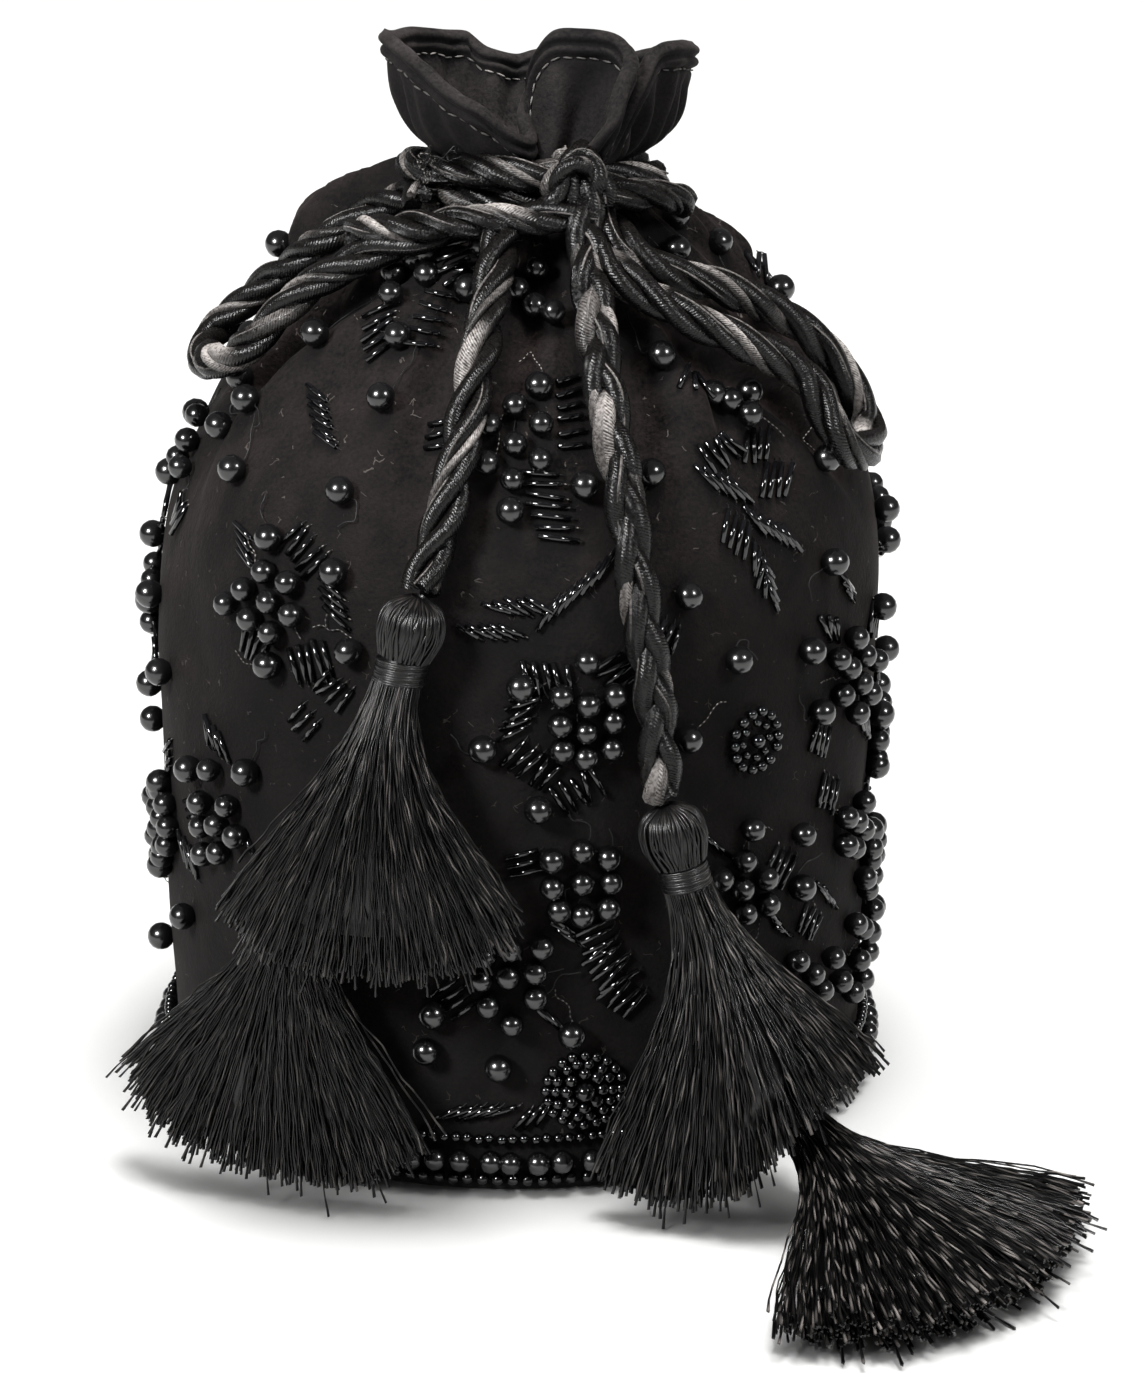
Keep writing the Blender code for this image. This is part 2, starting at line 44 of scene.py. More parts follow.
# The bag's outline, as in the solids
BELLY_RADIUS = 77.5 * MM
BASE_RADIUS = 76.0 * MM
BASE_THICK = 2.0 * MM
BELLY_HEIGHT = 100.0 * MM
SHOULDER_START = 112.0 * MM
NECK_HEIGHT = 197.0 * MM
NECK_RADIUS = 18.6 * MM
SHOULDER_POWER = 5 / 7
LEAN = 5.5 * MM
LEAN_START = 100.0 * MM
GATHERS = 11
GATHER_DEPTH = 2.8 * MM
GATHER_START = 128.0 * MM
GATHER_FULL = 184.0 * MM
CREASE_DEPTH = 4.0 * MM
CREASE_WIDTH = 7.5
CREASE_ANGLES = (-152, -118, -92, -66, -19, 20, 47, 71, 104, 139, 171)

# Cord routes: angle from the front (degrees), height and stand-off from the cloth (mm)
LOOP_LEFT = ((-52, 197.5, 12), (-66, 197.5, 9.5), (-80.4, 194.5, 7), (-85.6, 190.5, 5), (-86, 186.7, 4.3),
             (-90, 182.2, 4.3), (-95, 177, 4.6), (-96, 172, 5.6), (-96, 167.9, 6.6), (-95, 163.9, 7.2),
             (-88, 161.6, 7.2), (-76, 163, 7.4), (-68.5, 166.3, 7.2), (-65, 170.2, 7.2), (-63.8, 174, 7.2),
             (-62.4, 177.6, 7.4), (-60.4, 181.4, 7.6), (-57, 184.8, 7.6), (-52.6, 187.9, 7.6), (-47, 190.4, 7.8),
             (-40.4, 192.5, 8), (-34.1, 194.3, 9), (-28.8, 196.4, 11))
LOOP_RIGHT = ((24.4, 197.5, 12), (27, 192.2, 8.9), (33.9, 188, 6), (41.9, 185.2, 4.6), (50, 182.8, 4.3),
              (57.5, 180, 4.3), (63.7, 176.8, 4.3), (68.6, 173.2, 4.3), (72, 169.1, 4.5), (74.6, 164.6, 4.8),
              (76, 159.7, 5), (77, 154.9, 5), (76.6, 150.4, 5), (73, 147.6, 5.5), (66.8, 147.2, 6),
              (61.6, 149.6, 6.5), (59, 153.5, 7), (58.2, 157.5, 7.2), (57.6, 161.4, 7.4), (56.4, 165, 7.5),
              (53.6, 168.3, 7.5), (49.4, 171.3, 7.5), (44.6, 174, 7.5), (39.8, 176.7, 7.6), (35.2, 179.4, 7.8),
              (30.6, 182.2, 8), (26.1, 185, 8), (21.4, 188.1, 9), (17.9, 191.5, 10))
FRONT_LEFT = ((-10.6, 196.6, 12.5), (-11, 193, 9.8), (-10.3, 184.4, 7.8), (-10.3, 174.3, 6.6),
              (-10.5, 167.2, 6.3), (-10.8, 160.3, 6.1), (-11.6, 147.4, 5.5), (-13.1, 138.6, 5.8),
              (-13.6, 132.9, 7.8))
FRONT_RIGHT = ((14.7, 209, 6.6), (14.2, 207, 12.1), (14.5, 202, 15.9), (15.1, 196.4, 15.9),
               (14.8, 190.8, 9.3), (13.5, 179.2, 7.3), (13.9, 167.2, 6.4), (15.2, 154.5, 5.7),
               (16.5, 139.5, 5.2), (18, 125.5, 5), (20.3, 109, 4.8), (21.1, 100, 5.3), (21.5, 88.4, 6.8))
LINK_LEFT = ((-16.5, 113, 6.4), (-18.5, 107, 5.2), (-22.3, 99, 4.2), (-25.2, 92, 4.7), (-27.4, 84.9, 6.2))
LINK_RIGHT = ((26, 62.4, 7.3), (31.1, 52, 4.2), (34.5, 42, 4.4), (35.7, 34, 5.5), (35.9, 28.9, 7.1))

# Tassels: head top and aim (mm), outward side, bow (mm), tips from left to right (mm)
HEAD_RADIUS = 6.8 * MM
HEAD_LENGTH = 12.6 * MM
BINDING_RADIUS = 5.3 * MM
BINDING_LENGTH = 5.4 * MM
SKIRT_NECK_RADIUS = 5.0 * MM
SKIRT_THICK = 9.0 * MM
SEAT_GAP = 0.3 * MM
TASSELS = {
    "upper_left": ((-18, -80.9, 131.5), (-22.8, -82.2, 112.5), (-0.2, -1, 0), 6.0,
                   ((-59, -77, 66), (-51, -85, 60), (-40, -90, 57), (-28, -92, 56), (-15, -92, 57),
                    (-4, -90, 60), (2, -87, 67))),
    "lower_left": ((-38.6, -74.2, 84.4), (-42.8, -76.2, 65.4), (-0.55, -1, 0), 2.0,
                   ((-81, -60, 24), (-76, -67, 17), (-66, -74, 11), (-54, -79, 8), (-42, -83, 7),
                    (-30, -86, 8), (-17, -88, 17))),
    "upper_right": ((31.2, -78.4, 86.6), (36.2, -78.6, 68), (0.45, -1, 0), 5.0,
                    ((17, -89, 10), (27, -93, 8), (37, -96, 8), (46, -98, 12), (56, -99, 24),
                     (66, -90, 30), (76, -76, 30))),
    "lower_right": ((49.6, -68.6, 27.4), (62, -85.6, 15.6), (0, 0, 1), 1.0,
                    ((50, -149, 6), (61, -152, 6), (74, -151.5, 6), (88, -145, 6), (101, -133, 6),
                     (112, -112, 6.5), (117, -88, 7))),
}
THREADS = {"upper_left": 1080, "lower_left": 1040, "upper_right": 1080, "lower_right": 1080}
SKIRT_STEPS = 17
HEAD_STRANDS = 84
# Outline of a head: share of its radius, share of its length
HEAD_SHAPE = ((0.10, 0.0), (0.45, 0.03), (0.80, 0.16), (0.97, 0.36), (0.98, 0.60), (0.84, 0.86), (0.74, 1.0))


def linear(text):
    """An sRGB hex colour as linear RGBA."""
    parts = [int(text[place:place + 2], 16) / 255 for place in (1, 3, 5)]
    return tuple(c / 12.92 if c <= 0.04045 else ((c + 0.055) / 1.055) ** 2.4 for c in parts) + (1.0,)


# camera and stage


def make_camera():
    """Eye level a little above the bag, as the photograph is taken."""
    data = bpy.data.cameras.new("camera")
    data.lens = 115.3
    data.sensor_width = 36
    seen = bpy.data.objects.new("camera", data)
    seen.location = (0.0125, -0.9135, 0.3945)
    seen.rotation_euler = (math.radians(71.3), 0, 0)
    bpy.context.scene.collection.objects.link(seen)
    bpy.context.scene.camera = seen


def soft_light(name, place, aim, size, watts, glossy=True, diffuse=True):
    """Rectangular studio light that faces a point."""
    data = bpy.data.lights.new(name, "AREA")
    data.shape = "RECTANGLE"
    data.size, data.size_y = size
    data.energy = watts
    lamp = bpy.data.objects.new(name, data)
    lamp.location = place
    lamp.rotation_euler = (Vector(aim) - Vector(place)).to_track_quat("-Z", "Y").to_euler()
    lamp.visible_glossy = glossy
    lamp.visible_diffuse = diffuse
    bpy.context.scene.collection.objects.link(lamp)


# materials


def add_node(tree, kind, inputs=(), **settings):
    """Add a node with its settings, and fill or join its inputs."""
    made = tree.nodes.new(kind)
    for name, value in settings.items():
        setattr(made, name, value)
    for key, value in dict(inputs).items():
        if isinstance(value, bpy.types.NodeSocket):
            tree.links.new(value, made.inputs[key])
        else:
            made.inputs[key].default_value = value
    return made


def new_material(name):
    """A new material and its node tree."""
    made = bpy.data.materials.new(name)
    made.use_nodes = True
    return made, made.node_tree


def dressed(made, **sockets):
    """Fill or join the inputs of a material's Principled shader."""
    tree = made.node_tree
    for key, value in sockets.items():
        entry = tree.nodes["Principled BSDF"].inputs[key.replace("_", " ")]
        if isinstance(value, bpy.types.NodeSocket):
            tree.links.new(value, entry)
        else:
            entry.default_value = value
    return made


def maths(tree, operation, *values):
    """Result of a Math node."""
    return add_node(tree, "ShaderNodeMath", dict(enumerate(values)), operation=operation).outputs[0]


def vector_maths(tree, operation, *values):
    """Result of a Vector Math node."""
    return add_node(tree, "ShaderNodeVectorMath", dict(enumerate(values)), operation=operation).outputs[0]


def object_place(tree):
    """Place on the object, in metres."""
    return add_node(tree, "ShaderNodeTexCoord").outputs["Object"]


def noise(tree, scale, detail, roughness=0.5, output="Fac"):
    """Cloudy noise over the object; scale is in clouds per metre."""
    return add_node(tree, "ShaderNodeTexNoise", {"Vector": object_place(tree), "Scale": scale, "Detail": detail,
                                                 "Roughness": roughness}).outputs[output]


def mark(tree, name):
    """A value that the threads carry along their length."""
    return add_node(tree, "ShaderNodeAttribute", attribute_name=name).outputs["Fac"]


def between(tree, value, low, high):
    """A value from 0 to 1 spread between two others."""
    return add_node(tree, "ShaderNodeMapRange", {"Value": value, "To Min": low, "To Max": high}).outputs[0]


def blend(tree, share, first, second):
    """Mix of two colours."""
    return add_node(tree, "ShaderNodeMix", {0: share, 6: first, 7: second}, data_type="RGBA").outputs[2]


def bump(tree, strength, distance, height, **below):
    """Normal of a relief, on top of another relief's normal where one is given."""
    return add_node(tree, "ShaderNodeBump", {"Strength": strength, "Distance": distance, "Height": height,
                                             **below}).outputs[0]


def ramp(tree, fac, low, dark, high, light):
    """Colour that runs from dark at low to light at high."""
    made = add_node(tree, "ShaderNodeValToRGB", {"Fac": fac})
    for end, place, colour in zip(made.color_ramp.elements, (low, high), (dark, light)):
        end.position, end.color = place, linear(colour)
    return made.outputs["Color"]


def brushed_cotton(name, dark, light, lint):
    """Brushed cotton, woven and raised: a soft matt nap with brownish mottling and stray lint."""
    made, tree = new_material(name)
    # Cloudy brushing marks about 12 mm wide
    cloud = noise(tree, 85.0, 5.0, 0.62)
    # Nap fibres of 0.3 mm, drawn 0.8 mm wide so that they show
    nap = noise(tree, 1250.0, 3.0, 0.7)
    base = ramp(tree, maths(tree, "MULTIPLY", maths(tree, "ADD", cloud, nap), 0.5), 0.38, dark, 0.64, light)
    # Lint and broken fibres, thin light curls a few tenths of a millimetre wide
    bend = vector_maths(tree, "MULTIPLY", noise(tree, 190.0, 2.0, output="Color"), (0.006, 0.006, 0.006))
    cells = add_node(tree, "ShaderNodeTexVoronoi", {"Vector": vector_maths(tree, "ADD", object_place(tree), bend),
                                                    "Scale": 260.0}, feature="DISTANCE_TO_EDGE").outputs["Distance"]
    curls = maths(tree, "LESS_THAN", cells, 0.022)
    patches = maths(tree, "GREATER_THAN", noise(tree, 330.0, 1.0), 1.0 - lint)
    share = maths(tree, "MULTIPLY", maths(tree, "MULTIPLY", curls, patches), 0.4)
    return dressed(made, Base_Color=blend(tree, share, base, linear("#6f6864")),
                   Roughness=between(tree, nap, 0.8, 0.96), Sheen_Weight=0.05, Sheen_Roughness=0.4,
                   Sheen_Tint=linear("#a89c96"), Specular_IOR_Level=0.16,
                   Normal=bump(tree, 0.5, 0.0012, cloud, Normal=bump(tree, 0.55, 0.00035, nap)))


def coated_glass(name, dark, light, ior, gloss):
    """Pressed glass with a dark lacquer: a deep gloss that mirrors the pale table in its lower half."""
    made, tree = new_material(name)
    # Slightly uneven lacquer from bead to bead, patches about 6 mm
    tone = noise(tree, 160.0, 2.0)
    return dressed(made, IOR=ior, Base_Color=ramp(tree, tone, 0.3, dark, 0.7, light),
                   Roughness=between(tree, tone, *gloss))


def rayon_gimp(name):
    """Rayon gimp, fine threads wound slantwise round a core: satin ribs, charcoal with silver-grey lengths."""
    made, tree = new_material(name)
    # Wound threads of 0.3 mm, drawn at 0.55 mm, that climb 6.05 mm in one turn round the strand
    turns = maths(tree, "MULTIPLY", mark(tree, "around"), 6.05)
    wave = maths(tree, "MULTIPLY", maths(tree, "ADD", mark(tree, "along"), turns), 2 * math.pi / 0.55)
    stray = noise(tree, 1400.0, 3.0)
    relief = maths(tree, "MULTIPLY_ADD", maths(tree, "SINE", wave), 0.17, stray)
    # The colour follows the same relief as the bump: lighter on each turn, darker in the grooves between turns.
    # This is painted shade on top of the strands' own charcoal and silver-grey
    black = ramp(tree, relief, 0.25, "#030202", 0.8, "#12100f")
    grey = ramp(tree, relief, 0.25, "#2f2b2a", 0.75, "#a8a29e")
    return dressed(made, Base_Color=blend(tree, mark(tree, "silver_and_highlight"), black, grey), Specular_IOR_Level=0.3,
                   Roughness=between(tree, stray, 0.2, 0.36), Normal=bump(tree, 0.8, 0.0002, relief))


def twisted_thread(name, dark, light, pitch, rough):
    """Twisted rayon thread: black, with short pale glints painted into its colour where the twist turns to the
    light: painted highlights.
    """
    made, tree = new_material(name)
    tone = mark(tree, "tone")
    # Two-ply twist, with painted highlights: the colour runs to the light colour in dashes along the thread, as
    # bright as the thread's tone allows; its turns of 0.8 mm are drawn longer so that each glint shows
    shift = maths(tree, "MULTIPLY_ADD", tone, 37.0, mark(tree, "along"))
    turn = maths(tree, "SINE", maths(tree, "MULTIPLY", shift, 2 * math.pi / pitch))
    glint = add_node(tree, "ShaderNodeMapRange", {"Value": turn, "From Min": -0.25, "From Max": 0.9}).outputs[0]
    return dressed(made, Base_Color=ramp(tree, maths(tree, "MULTIPLY", glint, tone), 0.0, dark, 1.0, light),
                   Roughness=between(tree, tone, rough, rough + 0.2), Specular_IOR_Level=0.42)


def plain_surface(name, low, high, scale):
    """Plain matt surface with a slight unevenness."""
    made, tree = new_material(name)
    tone = noise(tree, scale, 3.0)
    return dressed(made, Base_Color=ramp(tree, tone, 0.35, low, 0.65, high), Roughness=0.9,
                   Normal=bump(tree, 0.3, 0.0002, tone))


# the bag's form


def lean_at(height):
    """Sideways offset of the bag's axis towards +X."""
    return LEAN * np.clip((height - LEAN_START) / (NECK_HEIGHT - LEAN_START), 0, 1.3)


def turned_from(angle, centre):
    """Angle from a centre, between -180 and 180 degrees."""
    return (angle - centre + 180) % 360 - 180


def eased(value):
    """A value kept between 0 and 1 that starts and stops softly."""
    value = np.clip(value, 0, 1)
    return value * value * (3 - 2 * value)


def unit(vectors):
    """Vectors made one long."""
    return vectors / np.linalg.norm(vectors, axis=-1, keepdims=True)


def hermite(share, start, leaving, end, arriving):
    """Curve from start to end that leaves and arrives along the given vectors."""
    square, cube = share ** 2, share ** 3
    return ((2 * cube - 3 * square + 1) * start + (cube - 2 * square + share) * leaving
            + (3 * square - 2 * cube) * end + (cube - square) * arriving)


def smooth_curve(points, share):
    """Smooth curve through points; share counts in points, from the first to the last."""
    last = len(points) - 1
    span = np.minimum(share.astype(int), last - 1)
    t = (share - span)[:, None]
    a, b, c, d = (points[np.clip(span + step, 0, last)] for step in (-1, 0, 1, 2))
    return 0.5 * (2 * b + (c - a) * t + (2 * a - 5 * b + 4 * c - d) * t ** 2 + (3 * b - a - 3 * c + d) * t ** 3)


def outline_radius(height):
    """Radius of the envelope: a slight belly, then a domed shoulder."""
    height = np.asarray(height, float)
    swell = np.sin(np.clip(height / BELLY_HEIGHT, 0, 1) * np.pi / 2)
    rise = np.clip((height - SHOULDER_START) / (NECK_HEIGHT - SHOULDER_START), 0, 1)
    dome = NECK_RADIUS + (BELLY_RADIUS - NECK_RADIUS) * (1 - rise * rise) ** SHOULDER_POWER
    return np.where(height < SHOULDER_START, BASE_RADIUS + (BELLY_RADIUS - BASE_RADIUS) * swell, dome)


def fold_depth(angle, height):
    """Depth of the gathers that the solids have too."""
    turn = np.radians(angle)
    pleat = 0.5 - 0.5 * np.cos(GATHERS * turn + 1.1 * np.sin(3 * turn))
    crease = 0
    for centre in CREASE_ANGLES:
        crease = np.maximum(crease, np.exp(-(turned_from(angle, centre) / CREASE_WIDTH) ** 2))
    tight = np.minimum(1, outline_radius(height) / (2.2 * NECK_RADIUS))
    start = eased((height - GATHER_START) / (GATHER_FULL - GATHER_START))
    return start * tight * (GATHER_DEPTH * pleat + CREASE_DEPTH * crease)


def polar(angle, radius, height):
    """Points at angles from the front, radii from the leaning axis and heights."""
    turn = np.radians(angle)
    return np.stack([lean_at(height) + radius * np.sin(turn), -radius * np.cos(turn),
                     height + 0 * turn], axis=-1)


def outward(angle, height):
    """Unit normals of the envelope."""
    step = 0.5 * MM
    slope = (outline_radius(height + step) - outline_radius(height - step)) / (2 * step)
    turn = np.radians(angle)
    return unit(np.stack([np.sin(turn), -np.cos(turn), -slope + 0 * turn], axis=-1))


# Listed folds of the cloth: line as (angle, height), depth in mm (- for a ridge), width in mm of the
# side left of the line's direction and of the right side
FOLD_STRENGTH = 1.9
FOLDS = (
    (((-46, 180), (-49.7, 176.4), (-53.8, 172.1), (-58, 167.1), (-61.6, 160.8), (-64.7, 155.3), (-65.5, 149.3),
      (-64.8, 143.8), (-64, 138)), -0.9, 9.0, 2.0),
    (((-44, 184), (-49, 181), (-54.5, 177), (-60.5, 171.5), (-65, 165), (-69, 158.5), (-71, 151), (-70.5, 143)),
     3.0, 2.2, 4.5),
    (((3, 194), (1, 189), (0, 183), (-1, 176), (-2, 171), (-2, 162)), 4.6, 6.0, 7.0),
    (((32, 176), (33.5, 172), (35.1, 168.3), (35.3, 165), (35, 161.4), (34, 155)), -0.7, 2.0, 8.0),
    (((34, 178), (36, 174), (38.3, 170), (38.8, 165.5), (38.5, 161), (38, 156)), 2.0, 4.0, 2.0),
    (((37, 165), (43.4, 161.9), (48.6, 159), (52.9, 154.6), (55.5, 149.8), (58.5, 144.5), (64, 139), (70, 131)),
     -0.9, 2.0, 9.0),
    (((37, 170), (41, 168), (46, 165.5), (51.5, 162), (56.5, 157.5), (60, 152), (63.5, 146), (68, 140)),
     2.6, 4.5, 2.2),
    (((58, 171), (62.5, 167.5), (66, 164.2), (68.8, 159.6), (70.5, 153.8), (71.8, 147.8), (72.5, 140)),
     -0.8, 2.0, 7.0),
    (((60, 175), (64.5, 170.5), (69, 166.5), (72.5, 161), (74.5, 154.5), (75.8, 148)), 2.0, 4.0, 2.0),
    (((35, 183), (29, 177), (26, 168), (24, 160), (22, 150)), 2.0, 4.5, 7.0),
    (((-20, 188), (-22, 176), (-21, 164), (-19, 150)), 1.4, 6.0, 5.0),
    (((-103, 176), (-105, 186), (-108, 193)), -5.0, 9.0, 8.0),
    (((-86, 176), (-89, 188)), -3.0, 6.0, 6.0),
    (((100, 180), (104, 190)), -3.0, 7.0, 7.0),
    (((-70, 128), (-60, 108), (-52, 92)), 0.7, 9.0, 12.0),
    (((70, 124), (64, 104), (56, 84), (50, 70)), 0.8, 10.0, 12.0),
    (((-24, 60), (-14, 48), (-6, 40)), 0.6, 9.0, 8.0),
    (((26, 82), (20, 66), (17, 50)), 0.6, 9.0, 8.0),
    # Short folds that run down from the gathers
    (((10, 190), (11, 176), (12, 162)), 2.0, 3.5, 4.5),
    (((-34, 190), (-33, 180), (-30, 168)), 1.5, 3.5, 5.0),
    (((55, 190), (60, 182), (68, 172)), 2.2, 4.0, 5.0),
    (((70, 192), (78, 184), (88, 172)), 2.4, 4.0, 5.0),
    (((-70, 190), (-78, 182), (-90, 168)), 2.4, 4.0, 5.0),
    (((-130, 176), (-126, 160), (-118, 142)), 2.4, 5.0, 6.0),
    (((150, 178), (146, 158), (139, 138)), 2.4, 6.0, 5.0),
    (((-170, 176), (-174, 156), (178, 136)), 2.2, 6.0, 6.0),
)


def slope_length(height):
    """Length along the cloth from the foot up to a height."""
    levels = np.linspace(0, NECK_HEIGHT, 1200)
    run = np.hypot(np.diff(levels), np.diff(outline_radius(levels)))
    return np.interp(height, levels, np.concatenate([[0], np.cumsum(run)]))


def hand_folds(angle, height):
    """Depth of the listed folds, in metres."""
    angle, height = np.broadcast_arrays(np.asarray(angle, float), np.asarray(height, float))
    rise, radius = slope_length(height), outline_radius(height)
    total = np.zeros(angle.shape)
    for line, depth, left_width, right_width in FOLDS:
        stops = np.array(line, float)
        share = np.linspace(0, len(stops) - 1, 9 * len(stops))
        turn = np.interp(share, range(len(stops)), np.degrees(np.unwrap(np.radians(stops[:, 0]))))
        spot_height = np.interp(share, range(len(stops)), stops[:, 1]) * MM
        level, spot_radius = slope_length(spot_height), outline_radius(spot_height)
        flow = unit(np.stack([np.gradient(np.radians(turn)) * spot_radius, np.gradient(level)], axis=1))
        across = np.radians(turned_from(angle[..., None], turn)) * radius[..., None]
        up = rise[..., None] - level
        away = np.hypot(across, up)
        nearest = away.argmin(axis=-1)
        across, up, away = (np.take_along_axis(entry, nearest[..., None], axis=-1)[..., 0]
                            for entry in (across, up, away))
        side = flow[nearest, 0] * up - flow[nearest, 1] * across
        width = np.where(side > 0, left_width, right_width) * MM
        taper = np.sin(np.pi * (0.12 + 0.88 * nearest / len(share))) ** 0.6
        total += FOLD_STRENGTH * depth * MM * np.exp(-(away / width) ** 2) * taper
    return total


def softness(angle, height):
    """Slow unevenness of stuffed cloth, and fine puckers under the neck."""
    turn, level = np.radians(angle), height / MM
    slow = (0.55 * np.sin(3 * turn + 0.031 * level + 0.6) + 0.45 * np.sin(5 * turn - 0.047 * level)
            + 0.35 * np.sin(7 * turn + 0.083 * level + 1.9) + 0.2 * np.sin(13 * turn - 0.12 * level))
    near_neck = np.clip((level - 150) / 40, 0, 1)
    pucker = (0.45 * np.sin(41 * turn + 2.2 * np.sin(5 * turn) + 0.06 * level)
              + 0.3 * np.sin(67 * turn - 0.1 * level))
    foot = np.clip(level / 14, 0, 1)
    return (0.75 * slow * foot + pucker * near_neck) * MM


def cloth_radius(angle, height):
    """Radius of the finished cloth."""
    return (outline_radius(height) - fold_depth(angle, height) - hand_folds(angle, height)
            + softness(angle, height))


def on_cloth(angle, height, lift):
    """Points on the finished cloth, lifted along the envelope's normal; angle in degrees, the rest in metres."""
    angle, height = np.asarray(angle, float), np.asarray(height, float)
    spot = polar(angle, cloth_radius(angle, height), height)
    return spot + outward(angle, height) * np.asarray(lift)[..., None]


def placed(route):
    """Points of a route that is given as angle, height and stand-off."""
    turn, height, gap = np.array(route, float).T
    return polar(turn, outline_radius(height * MM) + gap * MM, height * MM)


# mesh helpers


def show(name, data):
    """Link a mesh as an object at the origin."""
    made = bpy.data.objects.new(name, data)
    bpy.context.scene.collection.objects.link(made)
    return made


def finish_piece(made, nodes=()):
    """Ride on the bag's body, and stand for solids."""
    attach(made, "root")
    if nodes:
        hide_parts(*nodes)
    return made


def skin(name, rows, material):
    """Closed surface through rows of equally many points, each row a loop; its faces are turned outwards."""
    rows = np.asarray(rows)
    levels, columns = rows.shape[:2]
    index = np.arange(levels * columns).reshape(levels, columns)
    after = np.roll(index, -1, axis=1)
    quads = np.stack([index[:-1], after[:-1], after[1:], index[1:]], axis=-1).reshape(-1, 4)
    hubs = np.full((2, columns), [[levels * columns], [levels * columns + 1]])
    caps = np.concatenate([np.stack([hubs[0], after[0], index[0]], axis=1),
                           np.stack([hubs[1], index[-1], after[-1]], axis=1)])
    points = np.concatenate([rows.reshape(-1, 3), rows[[0, -1]].mean(axis=1)])
    data = bpy.data.meshes.new(name)
    data.from_pydata(points.tolist(), [], quads.tolist() + caps.tolist())
    data.materials.append(material)
    data.shade_smooth()
    a, b, c = points[np.concatenate([quads[:, :3], quads[:, [0, 2, 3]], caps])].transpose(1, 0, 2)
    if (a * np.cross(b, c)).sum() < 0:
        data.flip_normals()
    return show(name, data)


def lines_mesh(paths, **values):
    """Mesh of open polylines; values are one number per point for each path."""
    points = np.concatenate(paths)
    edges, start = [], 0
    for path in paths:
        run = np.arange(start, start + len(path) - 1)
        edges.append(np.stack([run, run + 1], axis=1))
        start += len(path)
    data = bpy.data.meshes.new("lines")
    data.from_pydata(points.tolist(), np.concatenate(edges).tolist(), [])
    for name, lists in values.items():
        spot = data.attributes.new(name, "FLOAT", "POINT")
        spot.data.foreach_set("value", np.concatenate(lists).astype(np.float32))
    return data


def resampled(points, step):
    """Smooth curve through points, at even steps."""
    points = np.asarray(points, float)
    fine = smooth_curve(points, np.linspace(0, len(points) - 1, 24 * (len(points) - 1) + 1))
    length = np.concatenate([[0], np.cumsum(np.linalg.norm(np.diff(fine, axis=0), axis=1))])
    wanted = np.linspace(0, length[-1], max(2, round(length[-1] / step) + 1))
    return np.stack([np.interp(wanted, length, fine[:, axis]) for axis in range(3)], axis=1), wanted


# growing trees (Geometry Nodes)


def new_tree(name, sockets):
    """Geometry tree with a Geometry input and output and the named inputs."""
    tree = bpy.data.node_groups.new(name, "GeometryNodeTree")
    tree.interface.new_socket("Geometry", in_out="INPUT", socket_type="NodeSocketGeometry")
    for label, kind in sockets:
        tree.interface.new_socket(label, in_out="INPUT", socket_type=kind)
    tree.interface.new_socket("Geometry", in_out="OUTPUT", socket_type="NodeSocketGeometry")
    return tree, add_node(tree, "NodeGroupInput").outputs


def close_tree(tree, shape, material):
    """Realize, shade smooth, set the material and end the tree."""
    real = add_node(tree, "GeometryNodeRealizeInstances", {"Geometry": shape}).outputs[0]
    shaded = add_node(tree, "GeometryNodeSetShadeSmooth", {"Geometry": real, "Shade Smooth": True}).outputs[0]
    painted = add_node(tree, "GeometryNodeSetMaterial", {"Geometry": shaded, "Material": material}).outputs[0]
    add_node(tree, "NodeGroupOutput", {"Geometry": painted})


def sewn_bead_tree(long_bead):
    """A bead on every point, sized and turned by the point's own size and turn."""
    tree, given = new_tree("sewn_bugles" if long_bead else "sewn_pearls",
                           (("Segments", "NodeSocketInt"), ("Rings", "NodeSocketInt"),
                            ("Material", "NodeSocketMaterial")))
    if long_bead:
        bead = add_node(tree, "GeometryNodeMeshCylinder", {"Vertices": given["Segments"], "Radius": 0.5,
                                                           "Side Segments": given["Rings"], "Depth": 1.0})
    else:
        bead = add_node(tree, "GeometryNodeMeshUVSphere", {"Segments": given["Segments"],
                                                           "Rings": given["Rings"], "Radius": 0.5})
    size = add_node(tree, "GeometryNodeInputNamedAttribute", {"Name": "size"}, data_type="FLOAT_VECTOR")
    turn = add_node(tree, "GeometryNodeInputNamedAttribute", {"Name": "turn"}, data_type="FLOAT_VECTOR")
    beads = add_node(tree, "GeometryNodeInstanceOnPoints",
                     {"Points": given["Geometry"], "Instance": bead.outputs["Mesh"],
                      "Rotation": turn.outputs["Attribute"], "Scale": size.outputs["Attribute"]}).outputs[0]
    close_tree(tree, beads, given["Material"])
    return tree


def laid_thread_tree():
    """A round thread along every line, as thick as the point's own thick times Radius."""
    tree, given = new_tree("laid_threads", (("Radius", "NodeSocketFloat"), ("Sides", "NodeSocketInt"),
                                            ("Material", "NodeSocketMaterial")))
    line = add_node(tree, "GeometryNodeMeshToCurve", {"Mesh": given["Geometry"]}).outputs[0]
    ring = add_node(tree, "GeometryNodeCurvePrimitiveCircle", {"Resolution": given["Sides"],
                                                               "Radius": given["Radius"]}).outputs["Curve"]
    round_share = add_node(tree, "GeometryNodeSplineParameter").outputs["Factor"]
    marked = add_node(tree, "GeometryNodeStoreNamedAttribute",
                      {"Geometry": ring, "Name": "around", "Value": round_share},
                      data_type="FLOAT", domain="POINT").outputs[0]
    thick = add_node(tree, "GeometryNodeInputNamedAttribute", {"Name": "thick"}, data_type="FLOAT")
    made = add_node(tree, "GeometryNodeCurveToMesh", {"Curve": line, "Profile Curve": marked,
                                                      "Scale": thick.outputs["Attribute"],
                                                      "Fill Caps": True}).outputs[0]
    close_tree(tree, made, given["Material"])
    return tree


